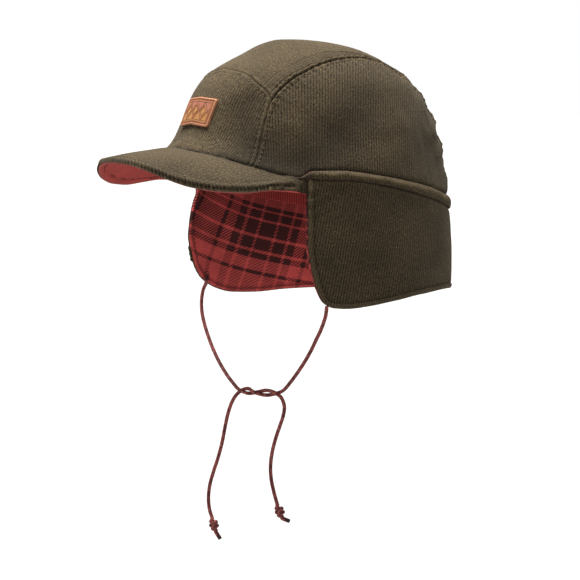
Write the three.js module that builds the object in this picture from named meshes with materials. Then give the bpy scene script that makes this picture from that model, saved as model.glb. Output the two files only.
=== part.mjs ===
/**
 * Earflap cap: a panelled corduroy crown, a curved peak, one long curtain that
 * covers the ears and the nape, and two cords joined by a half knot.
 *
 * Millimetres. +X is the wearer's left, -Y the front, +Z up. The origin is the
 * middle of the head opening, so the cap sits here as it sits on a head.
 */
import * as THREE from 'three';

const GAP = 0.3;
const SEAM_GAP = 0.25;

// The head opening, measured over the outer face of the cloth.
const OPENING = { halfWidth: 85, halfLength: 103 };
const APEX_HEIGHT = 96;
const CROWN_MIDDLE = new THREE.Vector3(0, -5, 25);

const CLOTH = {
  crown: 2.0, shell: 1.6, lining: 1.2, sweatband: 1.3, peakTop: 2.8, peakUnder: 1.2, patch: 1.4,
};

// The seam round the opening: turn in degrees from the front, z of the seam.
const RIM = [
  { turn: 0, z: 25.0 }, { turn: 25, z: 20.2 }, { turn: 45, z: 11.8 }, { turn: 61, z: 5.5 },
  { turn: 75, z: 5.0 }, { turn: 90, z: 1.6 }, { turn: 105, z: -3.6 }, { turn: 120, z: -9.4 },
  { turn: 135, z: -15.0 }, { turn: 155, z: -19.5 }, { turn: 180, z: -21.0 },
];

// Level sections of the crown: share of its height, then how far the front, the
// side and the back of the section lie from the origin.
const CROWN_SECTIONS = [
  { share: 0.00, front: 103.0, side: 85.0, back: 103.0 },
  { share: 0.06, front: 97.0, side: 83.8, back: 102.2 },
  { share: 0.14, front: 92.5, side: 82.0, back: 101.2 },
  { share: 0.26, front: 88.5, side: 79.0, back: 99.4 },
  { share: 0.40, front: 84.0, side: 75.0, back: 97.4 },
  { share: 0.56, front: 77.5, side: 68.6, back: 91.3 },
  { share: 0.70, front: 67.4, side: 61.7, back: 80.4 },
  { share: 0.82, front: 52.2, side: 51.0, back: 63.5 },
  { share: 0.91, front: 39.1, side: 38.0, back: 43.4 },
  { share: 0.97, front: 29.7, side: 23.7, back: 19.9 },
  { share: 1.00, front: 20.3, side: 0.0, back: -20.3 },
];

// The seam that bounds a side panel above: up the front seam, then along the
// strip that crosses the top, down to the nape.
const SIDE_SEAM = [
  { y: -78.1, x: 54.9 }, { y: -72.8, x: 51.8 }, { y: -64.7, x: 48.6 }, { y: -58.5, x: 46.2 },
  { y: -30.0, x: 46.4 }, { y: -5.0, x: 45.4 }, { y: 20.0, x: 42.0 }, { y: 45.0, x: 38.6 },
  { y: 70.0, x: 37.0 }, { y: 92.4, x: 37.0 },
];
const SIDE_PANEL = { front: -76.3, back: 91.2, crowding: 1.6, columns: 24, rows: 6 };

// The seam that bounds the front panel above: how high it runs at each x.
const FRONT_SEAM = [
  { x: 0.0, share: 0.730 }, { x: 20.0, share: 0.700 }, { x: 35.0, share: 0.625 },
  { x: 45.6, share: 0.525 }, { x: 48.2, share: 0.360 }, { x: 51.4, share: 0.130 },
  { x: 54.9, share: 0.000 },
];
const FRONT_PANEL = { halfWidth: 53.6, columns: 18, rows: 6 };

// The strip over the top swings about this level line from the front seam to the nape.
const TOP_STRIP = {
  axis: { y: -10, z: 20 }, cornerY: -58.5, seamSwing: 0.95, backSwing: 195.6, backArch: 1.0,
  columns: 22, rows: 12,
};

// Soft hollows of the crown: where they are, how wide, how deep.
const DENTS = [
  { x: 75, y: -12, z: 40, reach: 22, depth: 2.6 },
  { x: 70, y: 20, z: 52, reach: 20, depth: 1.6 },
  { x: 66, y: 60, z: 22, reach: 18, depth: 1.4 },
  { x: -75, y: 0, z: 42, reach: 24, depth: 2.0 },
];

// The rolled fold between the crown and the curtain.
const WELT = { start: 60.5, rightStart: 64.5, proud: 1.3, inset: 2.0, sections: 54 };
const WELT_HEIGHT = [
  { turn: 0, height: 0.0 }, { turn: 58, height: 0.0 }, { turn: 64, height: 4.8 },
  { turn: 90, height: 5.5 }, { turn: 120, height: 7.0 }, { turn: 180, height: 8.5 },
];

// The curtain's lower edge: degrees from the front, z on the left and right.
const HEM = [
  { spread: 62, left: -42.0, right: -52.0 }, { spread: 63, left: -52.0, right: -57.5 },
  { spread: 65, left: -66.0, right: -63.5 }, { spread: 68, left: -76.5, right: -69.0 },
  { spread: 72, left: -79.6, right: -73.4 }, { spread: 77, left: -80.2, right: -77.2 },
  { spread: 86, left: -79.0, right: -81.0 }, { spread: 98, left: -76.2, right: -81.8 },
  { spread: 110, left: -73.6, right: -80.4 }, { spread: 130, left: -72.2, right: -79.2 },
  { spread: 152, left: -74.2, right: -77.8 }, { spread: 180, left: -77.0, right: -77.0 },
];
const CURTAIN = { edge: 62, columns: 38, rows: 5, wave: 1.1, waves: 3.5, setBackReach: 30 };
// How many degrees the right front edge hangs further back, at a share of its drop.
const RIGHT_SET_BACK = [
  { share: 0, turn: 4.5 }, { share: 0.25, turn: 6.6 }, { share: 0.36, turn: 5.0 },
  { share: 0.48, turn: 3.7 }, { share: 0.63, turn: 2.7 }, { share: 0.77, turn: 2.2 },
  { share: 0.9, turn: 2.6 }, { share: 1, turn: 3.6 },
];

// How far the curtain swells out below the rim, at degrees from the front.
const SWELL = [
  { spread: 62, out: 0.8 }, { spread: 90, out: 1.4 }, { spread: 130, out: 3.0 }, { spread: 180, out: 3.0 },
];
const LINING = { edgeInset: 0.9, hemInset: 1.2, topDrop: 1.0 };

// The band round the head, inside: how far it hangs below the rim at each turn.
const SWEATBAND = { inset: 3.6, above: 18, sections: 52, rows: 4 };
const SWEATBAND_DROP = [
  { turn: 0, drop: 2.0 }, { turn: 62, drop: 2.0 }, { turn: 78, drop: 13.5 }, { turn: 180, drop: 13.5 },
];

// The peak's free edge in plan, and its z from the temple to the tip.
const PEAK = {
  templeX: 74, templeY: -50, tipY: -154.5, sidePower: 0.84, frontPower: 1.35,
  rootInset: 2.0, crest: 1.2, columns: 28, rows: 6, underInset: 0.8,
};
const PEAK_EDGE = [
  { around: 0, left: 1.6, right: 2.4 }, { around: 10, left: 3.2, right: 4.0 },
  { around: 20, left: 1.8, right: 4.2 }, { around: 30, left: -0.1, right: 2.4 },
  { around: 40, left: 0.8, right: 1.4 }, { around: 50, left: 3.6, right: 2.5 },
  { around: 60, left: 8.8, right: 6.0 }, { around: 70, left: 14.6, right: 11.6 },
  { around: 80, left: 18.0, right: 16.8 }, { around: 90, left: 18.9, right: 18.9 },
];

const PATCH = { halfWidth: 16.5, lowShare: 0.205, highShare: 0.455, columns: 10, rows: 5 };

const CORD = { diameter: 2.5, sides: 8, stations: 50 };
const KNOT = { sides: 8, stations: 14 };

// The left ear's cord, from its corner through the half knot to its own knot.
const LEFT_ROUTE = [
  [78.6, -36.2, -78.1], [78.0, -36.8, -84.6], [74.0, -37.6, -93.5], [68.4, -37.8, -101.0],
  [61.8, -37.6, -109.0], [54.0, -37.4, -117.0], [45.2, -37.2, -125.0], [35.4, -36.4, -132.4],
  [26.0, -34.9, -138.0], [18.0, -34.1, -140.9], [9.5, -38.2, -143.1], [1.0, -42.4, -141.8],
  [-6.0, -42.8, -139.9], [-12.6, -43.1, -141.2], [-17.2, -45.4, -145.0], [-20.8, -46.9, -150.6],
  [-24.0, -47.9, -158.5], [-26.6, -48.7, -168.0], [-29.2, -49.5, -179.0], [-32.8, -50.6, -190.0],
  [-37.0, -51.7, -200.0], [-40.0, -52.6, -209.0], [-41.2, -53.0, -218.0], [-40.2, -52.8, -226.0],
  [-38.0, -52.1, -231.6],
];

// The right ear's cord: it changes sides with the other one at the half knot.
const RIGHT_ROUTE = [
  [-82.2, -29.2, -74.0], [-82.4, -31.2, -78.0], [-82.6, -32.6, -86.0], [-81.0, -33.2, -94.0],
  [-76.4, -34.0, -102.0], [-69.4, -35.2, -110.0], [-60.6, -36.8, -118.0], [-49.6, -38.9, -125.6],
  [-36.4, -41.6, -132.4], [-22.8, -44.6, -137.4], [-11.8, -46.1, -141.2], [-6.0, -42.8, -143.1],
  [0.0, -39.4, -141.8], [9.5, -38.2, -139.9], [18.9, -37.1, -140.9], [22.8, -35.0, -144.0],
  [24.6, -33.9, -149.5], [23.4, -34.0, -156.0], [20.4, -34.9, -163.5], [17.0, -35.9, -172.0],
  [14.2, -36.7, -181.0], [12.8, -37.2, -190.0], [13.2, -37.1, -199.0], [15.4, -36.4, -208.0],
  [18.4, -35.5, -216.6],
];

// Each stopper knot, from the cord down to its short tail, and its radius there.
const LEFT_KNOT = [
  { at: [-37.9, -52.0, -231.9], radius: 1.5 }, { at: [-37.3, -51.8, -233.2], radius: 2.8 },
  { at: [-36.3, -51.5, -236.0], radius: 3.0 }, { at: [-36.0, -51.5, -238.6], radius: 2.2 },
  { at: [-35.8, -51.5, -240.8], radius: 1.9 }, { at: [-34.2, -51.0, -242.4], radius: 1.3 },
  { at: [-30.6, -50.0, -245.6], radius: 1.2 },
];
const RIGHT_KNOT = [
  { at: [18.5, -35.4, -216.9], radius: 1.5 }, { at: [19.4, -35.2, -218.2], radius: 2.8 },
  { at: [21.3, -34.8, -220.9], radius: 3.0 }, { at: [22.6, -34.4, -223.3], radius: 2.2 },
  { at: [24.4, -33.8, -224.6], radius: 1.7 }, { at: [27.4, -32.9, -225.0], radius: 1.3 },
  { at: [32.2, -31.6, -226.0], radius: 1.2 },
];

const FINISH = {
  corduroy: { color: 0x4a4231, roughness: 0.95 },
  plaid: { color: 0x8e2326, roughness: 0.95 },
  flannel: { color: 0xa03a35, roughness: 0.95 },
  leather: { color: 0xa4552c, roughness: 0.6 },
  cord: { color: 0x6e3431, roughness: 0.8 },
};

const radians = THREE.MathUtils.degToRad;
const degrees = THREE.MathUtils.radToDeg;

/** A smooth curve through a table's rows that never overshoots them. */
function through(rows, key, value) {
  const x = rows.map((row) => row[key]);
  const y = rows.map((row) => row[value]);
  const rise = x.slice(1).map((_, i) => (y[i + 1] - y[i]) / (x[i + 1] - x[i]));
  const slope = x.map((_, i) => {
    if (i === 0 || i === x.length - 1) return i === 0 ? rise[0] : rise[rise.length - 1];
    if (rise[i - 1] * rise[i] <= 0) return 0;
    const before = 2 * (x[i + 1] - x[i]) + (x[i] - x[i - 1]);
    const after = (x[i + 1] - x[i]) + 2 * (x[i] - x[i - 1]);
    return (before + after) / (before / rise[i - 1] + after / rise[i]);
  });
  return (at) => {
    const here = THREE.MathUtils.clamp(at, x[0], x[x.length - 1]);
    let i = 0;
    while (i < x.length - 2 && here > x[i + 1]) i += 1;
    const step = x[i + 1] - x[i];
    const t = (here - x[i]) / step;
    const [t2, t3] = [t * t, t * t * t];
    return (2 * t3 - 3 * t2 + 1) * y[i] + (t3 - 2 * t2 + t) * step * slope[i]
      + (3 * t2 - 2 * t3) * y[i + 1] + (t3 - t2) * step * slope[i + 1];
  };
}

/** `count` + 1 even steps from one value to another. */
function steps(count, from, to) {
  return Array.from({ length: count + 1 }, (_, i) => from + ((to - from) * i) / count);
}

/** How round the crown is at a share of its height: 0 at the rim, 1 at the top. */
const lift = (share) => Math.asin(THREE.MathUtils.clamp(share, 0, 1));
const sectionRows = CROWN_SECTIONS.map((row) => ({ ...row, lift: lift(row.share) }));
const sectionFront = through(sectionRows, 'lift', 'front');
const sectionSide = through(sectionRows, 'lift', 'side');
const sectionBack = through(sectionRows, 'lift', 'back');

/** The half width, middle and half length of the crown at a share of its height. */
function crownSection(share) {
  const front = -sectionFront(lift(share));
  const back = sectionBack(lift(share));
  return { side: sectionSide(lift(share)), middle: (front + back) / 2, half: (back - front) / 2 };
}

const rimCurve = through(RIM, 'turn', 'z');
const weltCurve = through(WELT_HEIGHT, 'turn', 'height');

/** Degrees from the front, 0 to 180, on whichever side. */
function spreadOf(turn) {
  const whole = ((turn % 360) + 360) % 360;
  return Math.min(whole, 360 - whole);
}
const rimHeight = (turn) => rimCurve(spreadOf(turn));
const weltHeight = (turn) => weltCurve(spreadOf(turn));
const turnAt = (x, y) => degrees(Math.atan2(x / OPENING.halfWidth, -y / OPENING.halfLength));

/** A point round the opening, pushed out by an offset. */
function rimPoint(turn, offset, z) {
  return new THREE.Vector3(
    (OPENING.halfWidth + offset) * Math.sin(radians(turn)),
    -(OPENING.halfLength + offset) * Math.cos(radians(turn)),
    z,
  );
}

function crownHeight(x, y, share) {
  const rim = rimHeight(turnAt(x, y));
  return rim + (APEX_HEIGHT - rim) * share;
}

function dentAt(point) {
  return DENTS.reduce((sum, dent) => {
    const away = point.distanceTo(new THREE.Vector3(dent.x, dent.y, dent.z));
    return sum + dent.depth * Math.exp(-((away / dent.reach) ** 2));
  }, 0);
}

/** Moves a point of the crown towards its middle, by the cloth and by any dent. */
function inward(point, depth) {
  const way = CROWN_MIDDLE.clone().sub(point).normalize();
  return point.clone().addScaledVector(way, depth);
}
const dented = (point) => inward(point, dentAt(point));

/** The crown's outer face where a plane across it, at y, reaches this height. */
function sidePoint(y, share, hand) {
  const { side, middle, half } = crownSection(share);
  const x = hand * side * Math.sqrt(Math.max(0, 1 - ((y - middle) / half) ** 2));
  return new THREE.Vector3(x, y, crownHeight(x, y, share));
}

/** The crown's outer face where a plane along it, at x, reaches this height. */
function frontPoint(x, share) {
  const { side, middle, half } = crownSection(share);
  const y = middle - half * Math.sqrt(Math.max(0, 1 - (x / side) ** 2));
  return new THREE.Vector3(x, y, crownHeight(x, y, share));
}

/** The crown's outer face at x, seen from the strip's axis at an angle from the front. */
function topPoint(x, swing) {
  const way = { y: -Math.cos(radians(swing)), z: Math.sin(radians(swing)) };
  const at = (reach) => new THREE.Vector3(
    x, TOP_STRIP.axis.y + way.y * reach, TOP_STRIP.axis.z + way.z * reach,
  );
  let [inside, outside] = [0, 2 * OPENING.halfLength];
  for (let i = 0; i < 40; i += 1) {
    const reach = (inside + outside) / 2;
    const point = at(reach);
    const rim = rimHeight(turnAt(point.x, point.y));
    const share = (point.z - rim) / (APEX_HEIGHT - rim);
    const { side, middle, half } = crownSection(share);
    const out = share >= 1 || (point.x / side) ** 2 + ((point.y - middle) / half) ** 2 > 1;
    if (out) outside = reach;
    else inside = reach;
  }
  return at(inside);
}

/** Joins loops of points into one closed body; each loop runs out along one face and back. */
function loft(loops, isRing = false) {
  const size = loops[0].length;
  const spans = isRing ? loops.length : loops.length - 1;
  const index = [];
  for (let i = 0; i < spans; i += 1) {
    const here = i * size;
    const next = ((i + 1) % loops.length) * size;
    for (let j = 0; j < size; j += 1) {
      const k = (j + 1) % size;
      index.push(here + j, next + j, next + k, here + j, next + k, here + k);
    }
  }
  if (!isRing) {
    const last = (loops.length - 1) * size;
    for (let j = 0; j + 1 < size / 2; j += 1) {
      const [a, b, c, d] = [j, j + 1, size - 2 - j, size - 1 - j];
      index.push(a, b, c, a, c, d);
      index.push(last + a, last + c, last + b, last + a, last + d, last + c);
    }
  }
  return facingOut(loops.flat(), index);
}

/** A geometry whose triangles face away from its inside. */
function facingOut(points, index) {
  let volume = 0;
  for (let i = 0; i < index.length; i += 3) {
    const [a, b, c] = [points[index[i]], points[index[i + 1]], points[index[i + 2]]];
    volume += a.dot(b.clone().cross(c));
  }
  if (volume < 0) index.reverse();
  const geometry = new THREE.BufferGeometry().setFromPoints(points);
  geometry.setIndex(index);
  geometry.computeVertexNormals();
  return geometry;
}

/** A sheet of cloth: the outer face by columns, and the inner face worked out from it. */
function wall(columns, innerOf) {
  return loft(columns.map((column) => [...column, ...column.map(innerOf).reverse()]));
}
const crownWall = (columns) => wall(columns, (point) => inward(point, CLOTH.crown));

const sideSeam = through(SIDE_SEAM, 'y', 'x');
const frontSeam = through(FRONT_SEAM, 'x', 'share');

function crownFront() {
  const columns = steps(FRONT_PANEL.columns, -90, 90).map((angle) => {
    const x = FRONT_PANEL.halfWidth * Math.sin(radians(angle));
    const low = GAP / APEX_HEIGHT;
    const high = frontSeam(Math.abs(x)) - low;
    return steps(FRONT_PANEL.rows, low, high).map((share) => dented(frontPoint(x, share)));
  });
  return crownWall(columns);
}

function crownSide(hand) {
  const columns = steps(SIDE_PANEL.columns, 1, 0).map((left) => {
    const y = SIDE_PANEL.back - (SIDE_PANEL.back - SIDE_PANEL.front) * left ** SIDE_PANEL.crowding;
    const rim = sidePoint(y, 0, hand);
    const turn = turnAt(rim.x, rim.y);
    const low = (weltHeight(turn) + GAP) / (APEX_HEIGHT - rimHeight(turn));
    let [inside, outside] = [low, 1];
    for (let i = 0; i < 40; i += 1) {
      const share = (inside + outside) / 2;
      if (Math.abs(sidePoint(y, share, hand).x) > sideSeam(y) + SEAM_GAP) inside = share;
      else outside = share;
    }
    return steps(SIDE_PANEL.rows, low, inside).map((share) => dented(sidePoint(y, share, hand)));
  });
  return crownWall(columns);
}

/** Half the width of the strip over the top, seen at an angle from the front. */
function stripHalfWidth(swing) {
  let x = sideSeam(0);
  for (let i = 0; i < 6; i += 1) x = sideSeam(Math.max(TOP_STRIP.cornerY, topPoint(x, swing).y));
  return x - SEAM_GAP;
}

/** The angle from the front at which the strip starts, just behind the front panel. */
function stripFrontSwing(x) {
  const seam = frontPoint(x, frontSeam(Math.abs(x)));
  const { axis, seamSwing } = TOP_STRIP;
  return degrees(Math.atan2(seam.z - axis.z, axis.y - seam.y)) + seamSwing;
}

function crownTop() {
  const columns = steps(TOP_STRIP.rows, -1, 1).map((across) => {
    const front = stripFrontSwing(across * (sideSeam(TOP_STRIP.cornerY) - SEAM_GAP));
    const back = TOP_STRIP.backSwing + TOP_STRIP.backArch * across * across;
    const swings = steps(TOP_STRIP.columns, front, back);
    return swings.map((swing) => dented(topPoint(stripHalfWidth(swing) * across, swing)));
  });
  return crownWall(columns);
}

function crownWelt() {
  const turns = steps(WELT.sections, WELT.start, 360 - WELT.rightStart);
  return loft(turns.map((turn) => {
    const z = rimHeight(turn);
    const height = weltHeight(turn);
    const face = [[0.1, 0.6], [0.3, 1], [0.7, 1], [0.9, 0.6]];
    return [
      rimPoint(turn, 0, z), ...face.map(([up, out]) => rimPoint(turn, WELT.proud * out, z + height * up)),
      rimPoint(turn, 0, z + height),
      ...face.map(([up]) => rimPoint(turn, -WELT.inset, z + height * up)).reverse(),
    ];
  }));
}

const swellCurve = through(SWELL, 'spread', 'out');
const rightSetBack = through(RIGHT_SET_BACK, 'share', 'turn');
const hemLeft = through(HEM, 'spread', 'left');
const hemRight = through(HEM, 'spread', 'right');
const hemHeight = (turn) => (turn <= 180 ? hemLeft(spreadOf(turn)) : hemRight(spreadOf(turn)));

/** Where the curtain hangs, nominally at a turn, at a share of its drop. */
function curtainTurn(turn, share) {
  const ease = Math.max(0, 1 - (spreadOf(turn) - CURTAIN.edge) / CURTAIN.setBackReach);
  return turn > 180 ? turn - rightSetBack(share) * ease : turn;
}

/** The curtain at a turn and a share of its drop, set in from its outer face. */
function curtainPoint(turn, share, inset, top, hem) {
  const z = top + (hem - top) * share;
  const wave = Math.sin(radians((turn - CURTAIN.edge) * CURTAIN.waves));
  const swell = swellCurve(spreadOf(turn)) * (1 - (1 - share) ** 3) + CURTAIN.wave * wave * share;
  return rimPoint(curtainTurn(turn, share), swell - inset, z);
}

/** A layer of the curtain, between its front edges. */
function curtainLayer(edge, topDrop, hemRise, inset, thickness) {
  const corner = [0, 1, 2.2, 3.8, 6, 9];
  const turns = [
    ...corner.map((past) => edge + past),
    ...steps(CURTAIN.columns, edge + 14, 360 - edge - 14),
    ...corner.map((past) => 360 - edge - past).reverse(),
  ];
  return loft(turns.map((turn) => {
    const top = rimHeight(curtainTurn(turn, 0)) - topDrop;
    const hem = hemHeight(turn) + hemRise;
    const face = (depth) => steps(CURTAIN.rows, 0, 1)
      .map((share) => curtainPoint(turn, share, depth, top, hem));
    return [...face(inset), ...face(inset + thickness).reverse()];
  }));
}
const flapShell = () => curtainLayer(CURTAIN.edge, GAP, 0, 0, CLOTH.shell);
const flapLining = () => curtainLayer(
  CURTAIN.edge + LINING.edgeInset, LINING.topDrop, LINING.hemInset, CLOTH.shell + GAP, CLOTH.lining,
);

/** A point inside the crown or the curtain, set in from the crown's outer face. */
function innerPoint(turn, z, inset) {
  const rim = rimHeight(turn);
  const { side, middle, half } = crownSection((z - rim) / (APEX_HEIGHT - rim));
  return new THREE.Vector3(
    (side - inset) * Math.sin(radians(turn)), middle - (half - inset) * Math.cos(radians(turn)), z,
  );
}

function sweatband() {
  const turns = steps(SWEATBAND.sections, 0, 360).slice(0, -1);
  const below = through(SWEATBAND_DROP, 'turn', 'drop');
  return loft(turns.map((turn) => {
    const rim = rimHeight(turn);
    const levels = steps(SWEATBAND.rows, rim - below(spreadOf(turn)), rim + SWEATBAND.above);
    const face = (inset) => levels.map((z) => innerPoint(turn, z, inset));
    return [...face(SWEATBAND.inset), ...face(SWEATBAND.inset + CLOTH.sweatband).reverse()];
  }), true);
}

const peakEdgeLeft = through(PEAK_EDGE, 'around', 'left');
const peakEdgeRight = through(PEAK_EDGE, 'around', 'right');

/** The free edge at x, given as a share of the temple's x. */
function peakEdge(across) {
  const cosine = Math.abs(across) ** (1 / PEAK.sidePower);
  const sine = Math.sqrt(1 - cosine * cosine);
  const y = PEAK.templeY + (PEAK.tipY - PEAK.templeY) * sine ** PEAK.frontPower;
  const around = degrees(Math.asin(sine));
  return { y, z: across < 0 ? peakEdgeRight(around) : peakEdgeLeft(around) };
}

/** The peak's upper face at x, from the crown's seam out to the free edge. */
function peakPoint(x, out, edgeInset) {
  const width = OPENING.halfWidth - PEAK.rootInset;
  const rootY = -(OPENING.halfLength - PEAK.rootInset) * Math.sqrt(1 - (x / width) ** 2);
  const edge = peakEdge(x / PEAK.templeX);
  const y = rootY + (edge.y + edgeInset - rootY) * out;
  const rootZ = rimHeight(turnAt(x, rootY));
  const crest = PEAK.crest * Math.sin(Math.PI * out) * Math.min(1, (rootY - edge.y) / 40);
  return new THREE.Vector3(x, y, rootZ + (edge.z - rootZ) * out + crest);
}

function peakLayer(limit, edgeInset, drop, thickness) {
  const columns = steps(PEAK.columns, -limit, limit).map((angle) => {
    const x = PEAK.templeX * Math.sin(radians(angle));
    return steps(PEAK.rows, 0, 1).map((out) => peakPoint(x, out, edgeInset).setZ(
      peakPoint(x, out, edgeInset).z - drop,
    ));
  });
  return wall(columns, (point) => point.clone().setZ(point.z - thickness));
}
const peakTop = () => peakLayer(81, 0, 0, CLOTH.peakTop);
const peakUnder = () => peakLayer(80, PEAK.underInset, CLOTH.peakTop + GAP, CLOTH.peakUnder);

function patch() {
  const columns = steps(PATCH.columns, -PATCH.halfWidth, PATCH.halfWidth).map((x) => (
    steps(PATCH.rows, PATCH.lowShare, PATCH.highShare)
      .map((share) => inward(frontPoint(x, share), -GAP - CLOTH.patch))
  ));
  return wall(columns, (point) => inward(point, CLOTH.patch));
}

/** A round body that follows a curve, with a radius at each station. */
function swept(curve, stations, sides, radiusAt) {
  const frames = curve.computeFrenetFrames(stations, false);
  return loft(steps(stations, 0, 1).map((share, i) => {
    const middle = curve.getPointAt(share);
    return steps(sides, 0, 2 * Math.PI).slice(0, -1).map((angle) => middle.clone()
      .addScaledVector(frames.normals[i], radiusAt(share) * Math.cos(angle))
      .addScaledVector(frames.binormals[i], radiusAt(share) * Math.sin(angle)));
  }));
}

function cord(route) {
  const curve = new THREE.CatmullRomCurve3(route.map((at) => new THREE.Vector3(...at)));
  return swept(curve, CORD.stations, CORD.sides, () => CORD.diameter / 2);
}

function stopperKnot(rows) {
  const curve = new THREE.CatmullRomCurve3(rows.map((row) => new THREE.Vector3(...row.at)));
  const travelled = rows.map((_, i) => {
    const upTo = rows.slice(1, i + 1);
    return upTo.reduce((sum, row, k) => (
      sum + new THREE.Vector3(...row.at).distanceTo(new THREE.Vector3(...rows[k].at))), 0);
  });
  const whole = travelled[travelled.length - 1];
  const radius = through(
    rows.map((row, i) => ({ share: travelled[i] / whole, radius: row.radius })), 'share', 'radius',
  );
  return swept(curve, KNOT.stations, KNOT.sides, radius);
}

const cap = new THREE.Group();
cap.name = 'earflap_cap';

function add(name, geometry, finish) {
  const mesh = new THREE.Mesh(geometry, new THREE.MeshStandardMaterial({ ...finish, metalness: 0 }));
  mesh.name = name;
  cap.add(mesh);
}

add('crown_front', crownFront(), FINISH.corduroy);
add('crown_top', crownTop(), FINISH.corduroy);
add('crown_side_left', crownSide(1), FINISH.corduroy);
add('crown_side_right', crownSide(-1), FINISH.corduroy);
add('crown_welt', crownWelt(), FINISH.corduroy);
add('flap_shell', flapShell(), FINISH.corduroy);
add('flap_lining', flapLining(), FINISH.plaid);
add('sweatband', sweatband(), FINISH.flannel);
add('peak_top', peakTop(), FINISH.corduroy);
add('peak_under', peakUnder(), FINISH.flannel);
add('patch', patch(), FINISH.leather);
add('cord_left', cord(LEFT_ROUTE), FINISH.cord);
add('cord_right', cord(RIGHT_ROUTE), FINISH.cord);
add('knot_left', stopperKnot(LEFT_KNOT), FINISH.cord);
add('knot_right', stopperKnot(RIGHT_KNOT), FINISH.cord);

export default cap;
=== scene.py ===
"""Earflap cap in ribbed corduroy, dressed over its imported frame.

Every shape is worked out in millimetres from the same named sizes and tables as
the frame, and becomes metres where it is written into a mesh. +X is the wearer's
left, -Y the front and +Z up; the origin is the middle of the head opening.
"""

from __future__ import annotations

import logging
from dataclasses import dataclass, field
from enum import Enum
from typing import Callable, Sequence

import bpy
import numpy as np
from mathutils import Matrix, Vector


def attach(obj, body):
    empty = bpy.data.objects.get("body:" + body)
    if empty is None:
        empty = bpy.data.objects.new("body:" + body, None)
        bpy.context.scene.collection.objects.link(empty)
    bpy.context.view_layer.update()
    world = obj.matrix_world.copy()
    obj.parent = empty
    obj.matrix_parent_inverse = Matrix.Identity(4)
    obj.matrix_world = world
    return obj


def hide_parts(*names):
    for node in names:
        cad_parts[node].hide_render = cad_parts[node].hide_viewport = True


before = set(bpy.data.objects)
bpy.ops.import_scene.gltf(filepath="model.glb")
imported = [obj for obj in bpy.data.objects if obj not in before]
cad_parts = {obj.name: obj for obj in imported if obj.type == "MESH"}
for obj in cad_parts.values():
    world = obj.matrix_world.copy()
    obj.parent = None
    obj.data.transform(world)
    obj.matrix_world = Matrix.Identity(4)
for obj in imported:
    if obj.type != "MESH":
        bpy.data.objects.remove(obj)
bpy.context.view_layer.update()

logging.basicConfig(level=logging.INFO, format="%(levelname)s %(message)s")
LOG = logging.getLogger("earflap_cap")

Array = np.ndarray
Socket = bpy.types.NodeSocket
Colour = tuple[float, float, float]
Span = tuple[float, float]
Rows = Sequence[Sequence[float]]
MM = 0.001
FULL_TURN = 360.0
HALF_TURN = 180.0
SMOOTH_ANGLE = 62.0
NEAREST_AT_ONCE = 4000
CORD_WIDTH = 2.5
# Where a noise texture's values lie, apart from a few.
NOISE_SPAN: Span = (0.3, 0.7)
# Distances from a sewn edge, in mm, at which a row of faces ends.
SEAM_ROWS = (0, 0.5, 1.0, 1.6, 2.3, 3.1, 4.0)


class Slot(Enum):
    """The record's material slots."""

    CORDUROY = "corduroy"
    PLAID = "plaid"
    FLANNEL = "flannel"
    LEATHER = "leather"
    CORD = "cord"


# The camera stands at the wearer's front left, a little above the rim.
@dataclass(frozen=True)
class CameraPlace:
    """Where the photograph was taken from."""

    azimuth: float = 56.5
    elevation: float = 4.6
    distance: float = 2000.0
    mm_per_pixel: float = 0.68
    image_size: float = 580.0
    sensor: float = 36.0
    sight: float = 50.0
    origin_pixel: tuple[float, float] = (306.0, 181.0)

    def build(self) -> bpy.types.Object:
        """Adds the camera and makes it the scene's own.

        Returns:
            The camera's object.
        """
        azimuth, elevation = np.radians(self.azimuth), np.radians(self.elevation)
        right = np.array([np.cos(azimuth), np.sin(azimuth), 0.0])
        back = np.array(
            [np.sin(azimuth) * np.cos(elevation), -np.cos(azimuth) * np.cos(elevation), np.sin(elevation)]
        )
        up = np.cross(back, right)
        middle = self.image_size / 2
        aside = (middle - self.origin_pixel[0]) * self.mm_per_pixel
        below = (self.origin_pixel[1] - middle) * self.mm_per_pixel
        target = aside * right + below * up
        place = (target + self.distance * back) * MM
        bpy.ops.object.camera_add(location=place)
        camera = bpy.context.object
        camera.name = "camera"
        turn = Matrix([[right[i], up[i], back[i]] for i in range(3)])
        camera.rotation_euler = turn.to_euler()
        camera.data.sensor_width = self.sensor
        camera.data.lens = self.sensor * self.distance / (self.mm_per_pixel * self.image_size)
        camera.data.clip_end = self.sight
        bpy.context.scene.camera = camera
        return camera


class SmoothCurve:
    """A smooth line through a table's rows that never overshoots them."""

    def __init__(self, rows: Rows, value: int = 1) -> None:
        """Reads the table.

        Args:
            rows: The table; its first column is what the curve is read at.
            value: The column that the curve gives.
        """
        self.x = np.array([row[0] for row in rows], float)
        self.y = np.array([row[value] for row in rows], float)
        step = np.diff(self.x)
        rise = np.diff(self.y) / step
        self.slope = np.zeros_like(self.x)
        self.slope[0], self.slope[-1] = rise[0], rise[-1]
        for i in range(1, len(self.x) - 1):
            if rise[i - 1] * rise[i] > 0:
                before = 2 * step[i] + step[i - 1]
                after = step[i] + 2 * step[i - 1]
                self.slope[i] = (before + after) / (before / rise[i - 1] + after / rise[i])

    def __call__(self, at: Array) -> Array:
        """The curve's value at each number given.

        Args:
            at: Where to read it; held to the table's ends.

        Returns:
            The values, in the same shape.
        """
        here = np.clip(np.asarray(at, float), self.x[0], self.x[-1])
        i = np.clip(np.searchsorted(self.x, here, side="left") - 1, 0, len(self.x) - 2)
        step = self.x[i + 1] - self.x[i]
        t = (here - self.x[i]) / step
        start = (2 * t**3 - 3 * t**2 + 1) * self.y[i] + (t**3 - 2 * t**2 + t) * step * self.slope[i]
        end = (3 * t**2 - 2 * t**3) * self.y[i + 1] + (t**3 - t**2) * step * self.slope[i + 1]
        return start + end


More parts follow.
